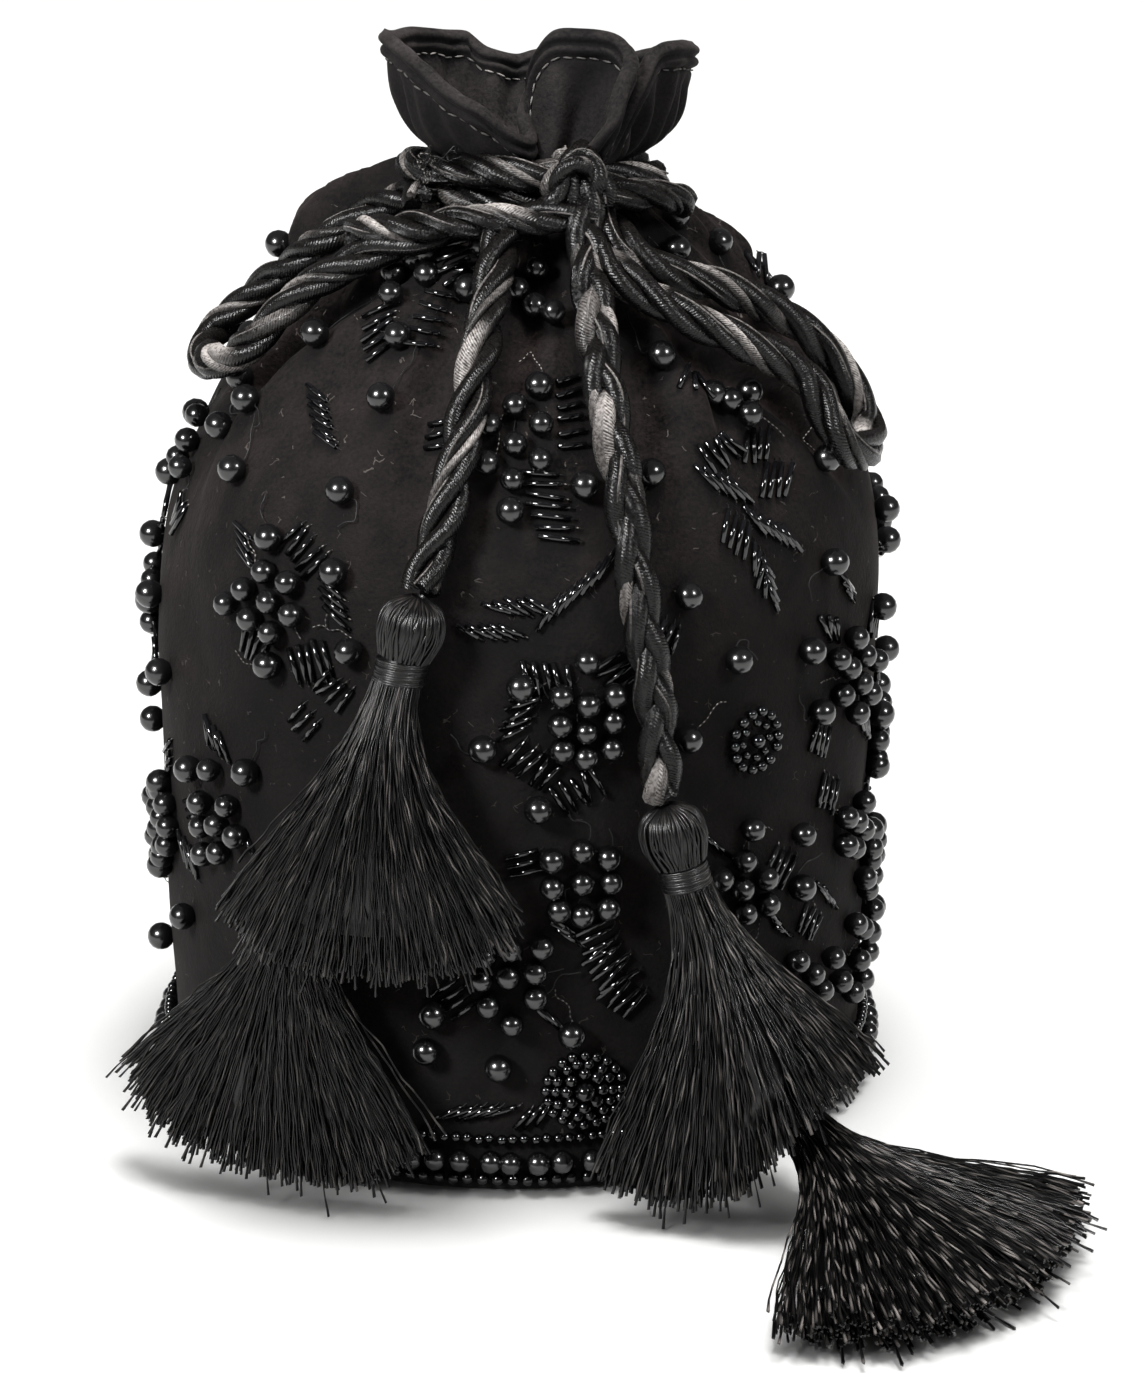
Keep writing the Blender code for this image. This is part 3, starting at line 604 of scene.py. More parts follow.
def running_stitch_tree():
    """Short raised stitches laid end to end along every line."""
    tree, given = new_tree("running_stitch", (("Pitch", "NodeSocketFloat"), ("Length", "NodeSocketFloat"),
                                              ("Width", "NodeSocketFloat"), ("Seed", "NodeSocketInt"),
                                              ("Material", "NodeSocketMaterial")))
    line = add_node(tree, "GeometryNodeMeshToCurve", {"Mesh": given["Geometry"]}).outputs[0]
    even = add_node(tree, "GeometryNodeResampleCurve", {"Curve": line, "Length": given["Pitch"]},
                    mode="LENGTH").outputs[0]
    flow = add_node(tree, "GeometryNodeInputTangent").outputs[0]
    jitter = add_node(tree, "FunctionNodeRandomValue", {0: (-0.22, -0.22, -0.22), 1: (0.22, 0.22, 0.22),
                                                        "Seed": given["Seed"]}, data_type="FLOAT_VECTOR").outputs[0]
    slant = add_node(tree, "ShaderNodeVectorMath", {0: flow, 1: jitter}, operation="ADD").outputs[0]
    turn = add_node(tree, "FunctionNodeAlignRotationToVector", {"Vector": slant}, axis="Z").outputs[0]
    bead = add_node(tree, "GeometryNodeMeshUVSphere", {"Segments": 6, "Rings": 5, "Radius": 0.5}).outputs[0]
    size = add_node(tree, "ShaderNodeCombineXYZ", {"X": given["Width"], "Y": given["Width"],
                                                   "Z": given["Length"]}).outputs[0]
    sewn = add_node(tree, "GeometryNodeInstanceOnPoints", {"Points": even, "Instance": bead,
                                                           "Rotation": turn, "Scale": size}).outputs[0]
    close_tree(tree, sewn, given["Material"])
    return tree


def grown(name, source, tree, **values):
    """Run a tree on a source mesh once and keep the result as a plain mesh object."""
    holder = show(name + "_source", source)
    run = holder.modifiers.new("grow", "NODES")
    run.node_group = tree
    for item in tree.interface.items_tree:
        if item.item_type == "SOCKET" and item.in_out == "INPUT" and item.name in values:
            run[item.identifier] = values[item.name]
    graph = bpy.context.evaluated_depsgraph_get()
    data = bpy.data.meshes.new_from_object(holder.evaluated_get(graph), depsgraph=graph)
    data.name = name
    holder.modifiers.remove(run)
    bpy.data.objects.remove(holder)
    return show(name, data)


def bead_points(places, sizes, turns):
    """Source points for a bead tree."""
    data = bpy.data.meshes.new("bead_points")
    data.from_pydata(np.asarray(places).tolist(), [], [])
    for name, rows in (("size", sizes), ("turn", turns)):
        spot = data.attributes.new(name, "FLOAT_VECTOR", "POINT")
        spot.data.foreach_set("vector", np.asarray(rows, np.float32).ravel())
    return data


# cords


def strand_lines(route, width, pitch, silver_strand, seed, plaited):
    """Three strands laid up along a route; returns their lines and values, and the middle line and its length."""
    middle, length = resampled(route, 0.9 * MM)
    flow = unit(np.gradient(middle, axis=0))
    away = middle - np.array([LEAN / 2, 0, 95 * MM])
    away = unit(away - flow * (away * flow).sum(axis=1, keepdims=True))
    across = np.cross(flow, away)
    dice = np.random.default_rng(seed)
    run = length / MM

    def wander(wave):
        return np.sin(run / wave + dice.uniform(0, 6))

    phase = 2 * np.pi * length / pitch + 0.35 * wander(19)
    strand_radius = width * (0.262 if plaited else 0.24)
    swing, lift = width / 2 - strand_radius * 0.96, width * 0.15
    lines, along, silver_and_highlight, thick = [], [], [], []
    for strand in range(3):
        beat = phase + 2 * np.pi * strand / 3
        rise = lift * np.sin(2 * beat) if plaited else swing * 0.8 * np.cos(beat)
        lines.append(middle + across * (swing * np.sin(beat))[:, None] + away * rise[:, None])
        along.append(run + 11.0 * strand)
        thick.append(1 + 0.05 * np.sin(run / 6 + strand * 2.1) - 0.06 * np.cos(2 * beat))
        if strand == silver_strand:
            silver_and_highlight.append(np.clip(1.3 * (wander(6) + 0.8 * wander(11)) - 0.55, 0.0, 1))
        else:
            silver_and_highlight.append(np.clip(1.6 * wander(13) * np.sin(run / 31 + strand) - 1.2, 0, 0.3))
    # A thinner silver strand lies in one groove. Fine pale threads run beside two strands: painted highlights, for
    # the bright line that the light draws along each strand
    groove = phase + np.pi / 3 + 2 * np.pi * silver_strand / 3
    rise = lift * 0.6 * np.sin(2 * groove) if plaited else width * 0.33 * np.cos(groove)
    lines.append(middle + across * (width * 0.36 * np.sin(groove))[:, None] + away * rise[:, None])
    silver_and_highlight.append(np.clip(0.6 + 0.7 * (wander(9) + 0.5 * wander(4)), 0.05, 1))
    thick.append(0.52 + 0.08 * np.sin(run / 5))
    # Painted highlights: thin half-silver threads along an edge of two strands
    for strand in range(2):
        lie = 0.9 + 0.9 * np.sin(run / 21 + 2.4 * strand + seed)
        beside = across * np.cos(lie)[:, None] + away * np.sin(lie)[:, None]
        lines.append(lines[strand] + beside * strand_radius * 0.95)
        silver_and_highlight.append(np.full(len(run), 0.55))
        thick.append(np.full(len(run), 0.12))
    along += [run] * 3
    values = dict(along=along, silver_and_highlight=silver_and_highlight, thick=[size * strand_radius / MM for size in thick])
    return lines, values, middle, length[-1]


def make_cords(name, routes, thread_tree, gimp):
    """One mesh of laid-up cords, with the last one's middle line and length.

    Routes are (points, width, pitch, silver strand, seed, plaited), in metres.
    """
    lines, values = [], {"along": [], "silver_and_highlight": [], "thick": []}
    for route in routes:
        new_lines, new_values, middle, total = strand_lines(*route)
        lines += new_lines
        for key in values:
            values[key] += new_values[key]
    made = grown(name, lines_mesh(lines, **values), thread_tree, Radius=MM, Sides=8, Material=gimp)
    return made, middle, total


# tassels


def tassel_frame(head_top, aim, side, bow, tips):
    """Places and directions that the pieces of a tassel share."""
    top = np.array(head_top) * MM
    axis = unit(np.array(aim) * MM - top)
    start = top + axis * (HEAD_LENGTH + SEAT_GAP + BINDING_LENGTH - 1.2 * MM)
    side = np.array(side, float)
    side = unit(side - axis * side.dot(axis))
    across = np.cross(axis, side)
    tips = np.array(tips) * MM
    if across.dot(tips[-1] - start) < 0:
        across = -across
    return SimpleNamespace(top=top, axis=axis, start=start, side=side, across=across, bow=bow * MM, tips=tips)


def fan_points(form, wide, deep, step):
    """Points on the fan of tips; wide runs from -1 to 1 along it, deep from -1 to 1 through it."""
    fan, _ = resampled(form.tips, step)
    spot = (wide + 1) / 2 * (len(fan) - 1)
    points = np.stack([np.interp(spot, range(len(fan)), fan[:, axis]) for axis in range(3)], axis=1)
    return points + form.side * (deep * SKIRT_THICK / 2)[:, None]


def skirt_curves(form, roots, goals, share):
    """Curves that leave along the tassel's axis, then follow their own way to their goals."""
    reach = (goals - roots)[:, None]
    leaving = form.axis * np.linalg.norm(reach, axis=-1, keepdims=True) * 0.9
    curves = hermite(share, roots[:, None], leaving, goals[:, None], reach * 0.95)
    return curves + form.side * form.bow * 0.8 * np.sin(np.pi * share)


def skirt_paths(form, count, seed):
    """Loose threads from the binding to the fan of tips."""
    dice = np.random.default_rng(seed)
    spread = dice.uniform(0, 2 * np.pi, count)
    reach = np.sqrt(dice.uniform(0.0, 1, count))
    wide, deep = np.cos(spread) * reach, np.sin(spread) * reach
    wide = np.sign(wide) * np.abs(wide) ** 0.8
    roots = form.start + (form.across * wide[:, None] + form.side * deep[:, None]) * SKIRT_NECK_RADIUS * 0.98
    goals = fan_points(form, wide, deep, 0.5 * MM)
    goals += dice.normal(0, 0.9 * MM, goals.shape)
    stretch = 1 + dice.normal(0, 0.018, count)
    strays = dice.random(count) < 0.08
    stretch = np.where(strays, stretch + dice.uniform(-0.12, 0.08, count), stretch)
    goals = roots + (goals - roots) * stretch[:, None]
    share = np.linspace(0, 1, SKIRT_STEPS)[None, :, None]
    paths = skirt_curves(form, roots, goals, share)
    # Kinks of the thread and stray bends that grow towards the tip
    phase = dice.uniform(0, 2 * np.pi, (count, 1, 3))
    pace = dice.uniform(16, 36, (count, 1, 3))
    kink = dice.uniform(0.12, 0.42, (count, 1, 1)) * MM
    bend = dice.normal(0, 1, (count, 1, 3)) * np.where(strays, 3.6, 0.8)[:, None, None] * MM
    paths += kink * np.sin(pace * share + phase) * np.minimum(1, share * 5)
    paths += bend * share ** 2 * (1 - 0.35 * share)
    paths[..., 2] = np.maximum(paths[..., 2], 0.35 * MM)
    return paths


def round_core(name, form, start, spots, radii, material):
    """Closed round core; spots are distances along the tassel's axis from the start."""
    turn = np.linspace(0, 2 * np.pi, 24, endpoint=False)[:, None]
    ring = form.across * np.cos(turn) - form.side * np.sin(turn)
    return skin(name, [start + form.axis * spot + ring * radius for spot, radius in zip(spots, radii)], material)


def make_skirt(name, form, count, seed, dice, thread_tree, thread):
    """Loose threads over a dense middle."""
    paths = skirt_paths(form, count, seed)
    run = np.cumsum(np.linalg.norm(np.diff(paths, axis=1), axis=2), axis=1) / MM
    along = np.concatenate([np.zeros((count, 1)), run], axis=1) + dice.uniform(0, 90, (count, 1))
    # Tone: how bright each thread's painted glints are; cubed, so that few threads get much
    tone = np.repeat(dice.uniform(0, 1, (count, 1)) ** 3, SKIRT_STEPS, axis=1)
    thick = np.ones((count, SKIRT_STEPS)) * dice.uniform(0.8, 1.15, (count, 1))
    thick[:, -1] *= 1.75
    thick[:, -2] *= 1.1
    skirt = grown(name + "_threads", lines_mesh(list(paths), along=list(along), tone=list(tone), thick=list(thick)),
                  thread_tree, Radius=0.225 * MM, Sides=3, Material=thread)
    around = 2 * np.pi * np.arange(28) / 28
    wide, deep = np.cos(around) * 0.82, -np.sin(around) * 0.55
    roots = form.start + (form.across * wide[:, None] + form.side * deep[:, None]) * SKIRT_NECK_RADIUS
    share = np.linspace(0, 0.86, 9)[None, :, None]
    rows = skirt_curves(form, roots, fan_points(form, wide, deep, 1 * MM), share).transpose(1, 0, 2)
    rows[..., 2] = np.maximum(rows[..., 2], 0.8 * MM)
    return skirt, skin(name + "_core", rows, thread)


def make_head(name, form, dice, thread_tree, head_thread):
    """Threads laid lengthwise over a core."""
    shape = np.array(HEAD_SHAPE)
    share = np.linspace(0, 1, 16)
    radius = np.interp(share, shape[:, 1], shape[:, 0]) * HEAD_RADIUS
    radius = np.convolve(np.pad(radius, 1, mode="edge"), (0.25, 0.5, 0.25), mode="valid")
    paths, tones = [], []
    for strand in range(HEAD_STRANDS):
        slant = dice.normal(0, 0.06) * share * 3
        turn = 2 * np.pi * strand / HEAD_STRANDS + slant + 0.05 * np.sin(share * 6 + strand)
        ring = form.across * np.cos(turn)[:, None] + form.side * np.sin(turn)[:, None]
        bulge = radius * (1 + dice.normal(0, 0.022))
        paths.append(form.top + form.axis * (share * HEAD_LENGTH)[:, None] + ring * bulge[:, None])
        # Each strand's tone sets how bright its painted glints are
        tones.append(np.full(len(share), dice.uniform(0, 0.7)))
    threads = grown(name + "_threads",
                    lines_mesh(paths, along=[share * HEAD_LENGTH / MM] * HEAD_STRANDS, tone=tones,
                               thick=[np.ones(len(share))] * HEAD_STRANDS),
                    thread_tree, Radius=0.3 * MM, Sides=5, Material=head_thread)
    spots = np.linspace(0.02, 1.0, 12)
    core = round_core(name + "_core", form, form.top, spots * HEAD_LENGTH, np.interp(spots, share, radius) * 0.97,
                      head_thread)
    return threads, core


def make_binding(name, form, dice, thread_tree, head_thread):
    """Thread wound ten times round the waist, over a core."""
    tilt = dice.uniform(-0.1, 0.1)
    foot = form.top + form.axis * (HEAD_LENGTH + SEAT_GAP)
    beat = np.linspace(0, 2 * np.pi * 10, 200)
    down = (beat / beat[-1] * 0.86 + 0.07) * BINDING_LENGTH
    size = BINDING_RADIUS - 0.35 * MM + 0.12 * MM * np.sin(beat * 0.37)
    helix = (foot + form.axis * (down + tilt * size * np.cos(beat))[:, None]
             + (form.across * np.cos(beat)[:, None] + form.side * np.sin(beat)[:, None]) * size[:, None])
    # The winding gets painted glints of middling strength (tone 0.4)
    winding = grown(name + "_thread",
                    lines_mesh([helix], along=[beat], tone=[np.full(len(beat), 0.4)], thick=[np.ones(len(beat))]),
                    thread_tree, Radius=0.36 * MM, Sides=6, Material=head_thread)
    spots = np.linspace(-0.25, 1.35, 9)
    radii = BINDING_RADIUS * np.where((spots > 0) & (spots < 1), 0.93, 0.84)
    return winding, round_core(name + "_core", form, foot, spots * BINDING_LENGTH, radii, head_thread)


def make_tassel(label, spec, count, seed, thread_tree, thread, head_thread):
    """Head, binding and loose skirt of one tassel."""
    form = tassel_frame(*spec)
    dice = np.random.default_rng(seed + 7)
    node = f"tassel_{label}_"
    skirt, mass = make_skirt(node + "skirt", form, count, seed, dice, thread_tree, thread)
    threads, head = make_head(node + "head", form, dice, thread_tree, head_thread)
    winding, waist = make_binding(node + "binding", form, dice, thread_tree, head_thread)
    for piece, solid in ((skirt, "skirt"), (threads, "head"), (winding, "binding")):
        finish_piece(piece, [node + solid])
    for piece in (head, waist, mass):
        finish_piece(piece)
    return [skirt, threads, winding, head, waist, mass]


# frill


# Rim of the heading band, round from the left corner (mm), with the neck angle each point rises from
RIM = (
    (-27, -2, 230, -95), (-23, -13, 229, -72), (-18, -20, 226, -52), (-12, -26, 222, -36), (-6, -28, 219, -22),
    (0, -27, 214, -10), (4, -22, 212, -4), (3, -16, 217, 0), (4, -14, 226, 4), (8, -16, 232, 8), (14, -18, 233, 13),
    (21, -18, 232, 18), (24, -22, 229, 22), (22, -28, 224, 26), (20, -31, 218, 30), (17, -29, 212, 34),
    (20, -25, 211, 38), (24, -23, 218, 43), (27, -21, 224, 49), (30, -16, 229, 57), (35, -9, 229, 70),
    (38, 0, 227, 90), (37, 11, 225, 108), (31, 22, 222, 128), (24, 25, 220, 146), (19, 22, 219, 156),
    (13, 25, 219, 168), (6, 30, 220, 180), (0, 30, 219, 192), (-5, 26, 221, 203), (-10, 29, 224, 215),
    (-16, 26, 225, 228), (-22, 18, 227, 242), (-26, 8, 228, 255))
# Valleys in the band: angle and width (degrees), depth (mm)
HEADING_VALLEYS = ((15, 5, 5.0), (-34, 6, 1.5), (-78, 7, 1.8), (50, 4, 3.4), (61, 3.5, 2.8), (72, 3.5, 2.6),
                   (84, 4, 3.0), (118, 7, 2.4), (205, 8, 2.4), (238, 8, 2.0))
HEADING_COLUMNS = 300
HEM_WIDTH = 5.0 * MM
WALL = 1.1 * MM


def frill_rows():
    """Outer face of the heading band, in rows from neck to rim."""
    rim = np.array(RIM, float)
    full_turn = np.array([0, 0, 0, 360.0])
    padded = np.concatenate([rim[-2:] - full_turn, rim, rim[:3] + full_turn])
    curve = smooth_curve(padded, np.linspace(2, 2 + len(rim), HEADING_COLUMNS, endpoint=False))
    edge, turn = curve[:, :3] * MM, curve[:, 3]
    way = np.radians(turn)
    foot = polar(turn, 17.8 * MM, np.full(HEADING_COLUMNS, 197.4 * MM))
    pleat = 1.0 * MM * np.sin(way * 17 + 1.5 * np.sin(way * 3))
    waist = polar(turn, 17.6 * MM + pleat, np.full(HEADING_COLUMNS, 204.0 * MM))
    rows = [foot, (foot + waist) / 2, waist]
    side = np.stack([np.sin(way), -np.cos(way), 0 * way], axis=1)
    rise = edge - waist
    up = np.array([0, 0, 1.0]) * np.linalg.norm(rise, axis=1, keepdims=True)
    height = up[:, 2:]
    for value in np.concatenate([np.linspace(0, 0.72, 22)[1:], np.linspace(0.72, 1, 18)[1:]]):
        point = hermite(value, waist, up * 0.35 + side * height * 1.6, edge, rise * 0.25 + up * 0.75)
        crumple = 0.5 * MM * np.sin(way * 23 + 7 * value) * math.sin(math.pi * value)
        fade = math.sin(math.pi * min(1, value * 1.12)) ** 1.5
        for centre, wide, deep in HEADING_VALLEYS:
            crumple = crumple - deep * MM * fade * np.exp(-(turned_from(turn, centre) / wide) ** 2)
        rows.append(point + side * crumple[:, None])
    return np.array(rows)


def surface_normals(rows):
    """Normals of a grid that is closed along its columns."""
    along = np.roll(rows, -1, axis=1) - np.roll(rows, 1, axis=1)
    up = np.gradient(rows, axis=0)
    normal = np.cross(along, up)
    return normal / np.maximum(np.linalg.norm(normal, axis=2, keepdims=True), 1e-12)


def make_frill(cloth, stitch_tree, stitch_thread):
    """Heading band with a double rolled hem and a running stitch below it."""
    outer = frill_rows()
    normal = surface_normals(outer)
    run = np.linalg.norm(np.diff(outer, axis=0), axis=2)
    below = np.concatenate([np.cumsum(run[::-1], axis=0)[::-1], np.zeros((1, outer.shape[1]))])
    roll = np.where(below < HEM_WIDTH, 1.15 * MM * np.abs(np.sin(np.pi * below / (HEM_WIDTH / 2))) ** 0.7, 0)
    dip = -0.45 * MM * np.exp(-((below - HEM_WIDTH - 0.5 * MM) / (0.5 * MM)) ** 2)
    front = outer + normal * (roll + dip)[..., None]
    inner = outer - normal * WALL
    back_roll = inner - normal * roll[..., None]
    rim = outer[-1] - normal[-1] * WALL / 2
    lip = rim + unit(outer[-1] - outer[-3]) * 0.5 * MM
    rows = list(front) + [lip] + list(back_roll[::-1][:-4])
    low = rows[-1]
    centre = low.mean(axis=0)
    for pull in (0.75, 0.5, 0.25):
        rows.append(centre + (low - centre) * pull + np.array([0, 0, 0.6 * MM]) * (1 - pull))
    band = skin("heading_band", rows, cloth)
    # Stitches follow the line just under the hem, outside and inside
    lines = []
    for sheet, lift in ((front, 0.42 * MM), (back_roll, -0.42 * MM)):
        line = []
        for column in range(outer.shape[1]):
            level = np.interp(-(HEM_WIDTH + 0.5 * MM), -below[:, column], np.arange(len(below)))
            low_row = int(level)
            part = level - low_row
            high_row = min(low_row + 1, len(below) - 1)
            spot = sheet[low_row, column] * (1 - part) + sheet[high_row, column] * part
            line.append(spot + normal[low_row, column] * lift)
        line.append(line[0])
        lines.append(np.array(line))
    stitches = grown("hem_stitches", lines_mesh(lines), stitch_tree, Pitch=2.7 * MM, Length=2.1 * MM,
                     Width=0.42 * MM, Seed=5, Material=stitch_thread)
    flat_width = float(np.linalg.norm(np.diff(outer[-1], axis=0), axis=1).sum())
    flat_height = float(below[0].mean())
    return band, stitches, flat_width, flat_height


# beads


# Angle from the front (degrees) and height (mm)
PEARLS = (
    (-29, 164), (-31, 147), (-55, 146), (-61, 158), (-20, 182), (-20, 189), (-32, 174), (26, 128), (35, 113),
    (56, 127), (59, 147), (50, 161), (29, 171), (22, 151), (27, 98), (1, 112), (-4, 99), (4, 86), (-13, 32),
    (9, 36), (-25, 117), (-44, 86), (50, 58), (55, 95), (51, 110), (-2, 29), (56, 186), (84, 184), (76, 190),
    (91, 173), (-102, 180), (-53, 172), (-73, 159), (-29, 132), (-39, 111), (-42, 136), (2, 167), (-2, 146),
    (-67, 151), (-59, 81), (-12, 40), (-80, 166), (10, 150))
SIDE_PEARLS = (
    (-92, 146), (-84, 136), (-88, 121), (-96, 98), (-82, 90), (-90, 78), (-86, 62), (-94, 44), (-84, 30), (86, 160),
    (90, 146), (84, 128), (92, 118), (86, 96), (94, 84), (84, 70), (92, 52), (86, 36), (72, 174), (76, 110),
    (80, 84), (78, 58), (-78, 112), (-76, 70), (-78, 50), (-70, 98), (-66, 44), (82, 142), (-84, 108))
BACK_PEARLS = (
    (122, 150), (148, 128), (178, 144), (-150, 132), (-124, 152), (134, 96), (160, 74), (-164, 92), (-136, 80),
    (120, 58), (146, 34), (-176, 30), (-146, 46), (-120, 104), (112, 130), (-108, 66), (168, 112), (-172, 60),
    (108, 84), (150, 160), (-140, 164))
# Pearls of the flowers, one by one where they can be made out
FLOWER_PEARLS = (
    (-49, 182.5), (-44.5, 185.5), (-38.5, 187), (-33.5, 184), (-40, 180.5), (-41.5, 129.5), (-45, 125),
    (-36.5, 128.5), (-48.5, 121), (-39.5, 124), (-43, 119.5), (-35, 122.5), (-38.5, 118), (-2.5, 163.5), (2.5, 161),
    (-2, 157.5), (2.5, 155), (-7, 160.5), (-6.5, 154), (-2, 151.5), (10.5, 117), (7, 110), (15, 109.5), (7, 104),
    (11, 102), (11, 108), (7.5, 98.5), (15, 104), (15, 98), (11, 96.5), (10.5, 76.5), (14.5, 74.5), (6, 75),
    (15, 69), (6, 69), (7, 64), (10.5, 62.5), (14.5, 63.5), (10.5, 69.5), (-4, 54), (0, 55.5), (-4.5, 48.5),
    (-0.5, 49.5), (3.5, 50.5), (-3.5, 43), (3.5, 45), (0, 39), (4.5, 56), (37.5, 68.5), (41.5, 63.5), (37, 62.5),
    (42, 57.5), (37.5, 57), (33.5, 65.5), (39, 75), (50, 70), (41.5, 161.5), (44, 158.5), (38.5, 163),
    (-52.5, 83.5), (-55.5, 75), (-48.5, 77), (-51.5, 71.5), (-56.5, 69), (-46.5, 71), (-51, 65.5), (-56, 63),
    (65, 107.5), (69, 102), (63.5, 101.5), (59.5, 105), (73.5, 99), (67.5, 96.5), (62, 96), (71.5, 92.5),
    (66, 90.5), (49.5, 41.5), (54, 36.5), (49, 35), (57.5, 31), (52.5, 30), (60, 37.5), (64, 30), (0.5, 185),
    (5.5, 178.5), (0.5, 179), (-5, 182), (80, 50), (84.5, 52.5), (77, 54.5), (82, 45.5), (86.5, 48), (77.5, 44.5),
    (74, 49), (69.5, 40.5), (73.5, 37.5), (77.5, 34.5), (83.5, 36.5), (72.5, 30.5), (80, 28.5), (75.5, 24.5),
    (70.5, 24), (-79, 58), (-82.5, 54.5), (-76, 53), (-84, 148), (-78.5, 144.5), (-81.5, 140), (-75, 140), (66, 66),
    (70.5, 62), (62, 62.5), (66, 60), (70, 68.5), (62.5, 68.5))
# Plain flowers for the sides and the back: middle angle, height
PLAIN_FLOWERS = (
    (-92, 106), (-76, 62), (102, 120), (104, 66), (132, 128), (128, 76), (160, 96), (166, 50), (-118, 128),
    (-124, 74), (-152, 106), (-156, 62), (180, 124), (88, 76), (-102, 50))
# Bugle leaves: angle, height, bead direction and march direction in degrees, count, bead length in mm
LEAVES = (
    (-42, 159, -15, -42, 6, 7), (-39, 175, 42, -48, 5, 7.5), (-27, 178, -10, -88, 5, 6.5),
    (-28, 188, 32, -60, 4, 8), (-22, 185, 4, -80, 2, 9), (-48, 133, -22, -60, 4, 7), (-36, 135, 52, -35, 5, 7),
    (-43, 114, 68, -20, 4, 7), (-32, 113, -68, 20, 5, 8), (-29, 126, -32, -70, 4, 7), (-17, 158, 20, -80, 3, 6),
    (8, 163, 4, -88, 6, 6), (4, 147, -9, -70, 7, 8.5), (-4, 123, -28, 2, 5, 6), (0, 128, -25, 5, 5, 6),
    (9, 131, 58, 38, 8, 7), (36, 154, -58, 10, 5, 7), (45, 153, 62, -5, 4, 7), (35, 148, -55, -25, 5, 8),
    (47, 146, 60, -8, 4, 7.5), (36, 138, 66, -40, 4, 7), (44, 137, -58, -30, 6, 7), (40, 130, 70, -70, 4, 6),
    (42, 127, -65, -80, 4, 6), (5, 113, -82, -5, 5, 7.5), (15, 114, 32, -50, 4, 7), (1, 106, 22, 75, 5, 7),
    (3, 95, 48, -35, 5, 7), (10, 89, -62, 25, 5, 7), (23, 120, 60, -30, 3, 6), (2, 74, 12, -75, 3, 7),
    (8, 59, -35, -60, 3, 7), (13, 56, 18, -75, 4, 8), (15, 50, 35, -60, 5, 9), (17, 43, 40, -40, 4, 7),
    (-9, 43, 40, -50, 4, 7), (6, 39, -50, -40, 4, 7), (-6, 18, 28, 4, 6, 6.5), (3, 17, 55, 10, 3, 6),
    (-53, 90, -60, -20, 4, 7), (-61, 71, 30, -70, 3, 7), (-43, 67, -50, -50, 4, 7), (-28, 108, 50, -30, 4, 6),
    (-33, 100, 45, -40, 3, 6), (32, 74, -50, -40, 4, 7), (46, 64, 50, -40, 4, 7), (34, 51, 55, -30, 4, 7),
    (46, 51, -40, -50, 4, 7), (58, 112, -60, -20, 4, 7), (76, 107, 55, -30, 4, 7), (57, 88, 60, -30, 4, 7),
    (73, 85, -60, -30, 4, 7), (63, 119, -40, -60, 3, 7), (54, 48, 50, -40, 4, 7), (59, 75, 60, -30, 4, 7),
    (59, 52, -50, -40, 4, 7), (-88, 130, -50, -30, 3, 7), (-74, 131, 60, -30, 3, 7), (34, 167, 60, -30, 3, 6),
    (-100, 186, 30, -50, 4, 7), (-107, 180, -30, -60, 4, 7), (96, 178, 40, -40, 4, 7))


def bead_frame(angle, height, direction):
    """Point, outward normal, and a direction laid on the cloth (0 is to the right, 90 is up)."""
    spot = on_cloth(angle, height, 0.0)
    right = on_cloth(angle + 0.8, height, 0.0) - on_cloth(angle - 0.8, height, 0.0)
    above = on_cloth(angle, height + 0.6 * MM, 0.0) - on_cloth(angle, height - 0.6 * MM, 0.0)
    normal, right = unit(np.cross(right, above)), unit(right)
    way = math.radians(direction)
    return spot, normal, right * math.cos(way) + np.cross(normal, right) * math.sin(way)


def degrees_per_metre(height):
    """Angle round the bag that a metre of cloth takes up."""
    return math.degrees(1 / outline_radius(height))


def sewn_beads(name, beads, tree, glass, segments=14, rings=8, nodes=()):
    """Grow a bead at each (place, size, turn) and finish the piece."""
    places, sizes, turns = zip(*beads)
    return finish_piece(grown(name, bead_points(places, sizes, turns), tree, Segments=segments, Rings=rings,
                              Material=glass), nodes)


def make_pearls(dice, pearl_tree, pearl_glass):
    """Single pearls and the pearls of the flowers; returns the leaves of the plain flowers."""
    beads, leaves = [], []

    def add(place, size):
        beads.append((place, [size] * 3, dice.uniform(0, 6.28, 3)))

    for angle, height in PEARLS + SIDE_PEARLS + BACK_PEARLS:
        size = 6.0 * MM * (1 + dice.normal(0, 0.015))
        add(on_cloth(angle, height * MM, size / 2 - 0.6 * MM), size)
    for angle, height in FLOWER_PEARLS:
        size = 5.3 * MM * (1 + dice.normal(0, 0.02))
        add(on_cloth(angle, height * MM, size / 2 - 0.4 * MM + abs(dice.normal(0, 0.3)) * MM), size)
    for angle, height in PLAIN_FLOWERS:
        around = degrees_per_metre(height * MM)
        for index in range(9):
            turn = 2 * math.pi * index / 8
            reach = 0 if index == 8 else 6.6 * MM + dice.normal(0, 0.25) * MM
            add(on_cloth(angle + reach * math.sin(turn) * around, height * MM + reach * math.cos(turn), 2.2 * MM),
                5.3 * MM)
        for index in range(3):
            way = 90 + 120 * index + dice.uniform(-20, 20)
            leaves.append((angle + 15 * MM * math.cos(math.radians(way)) * around,
                           height + 15 * math.sin(math.radians(way)), way - 40, way, 4, 7))
    sewn_beads("sewn_pearls", beads, pearl_tree, pearl_glass)
    return leaves


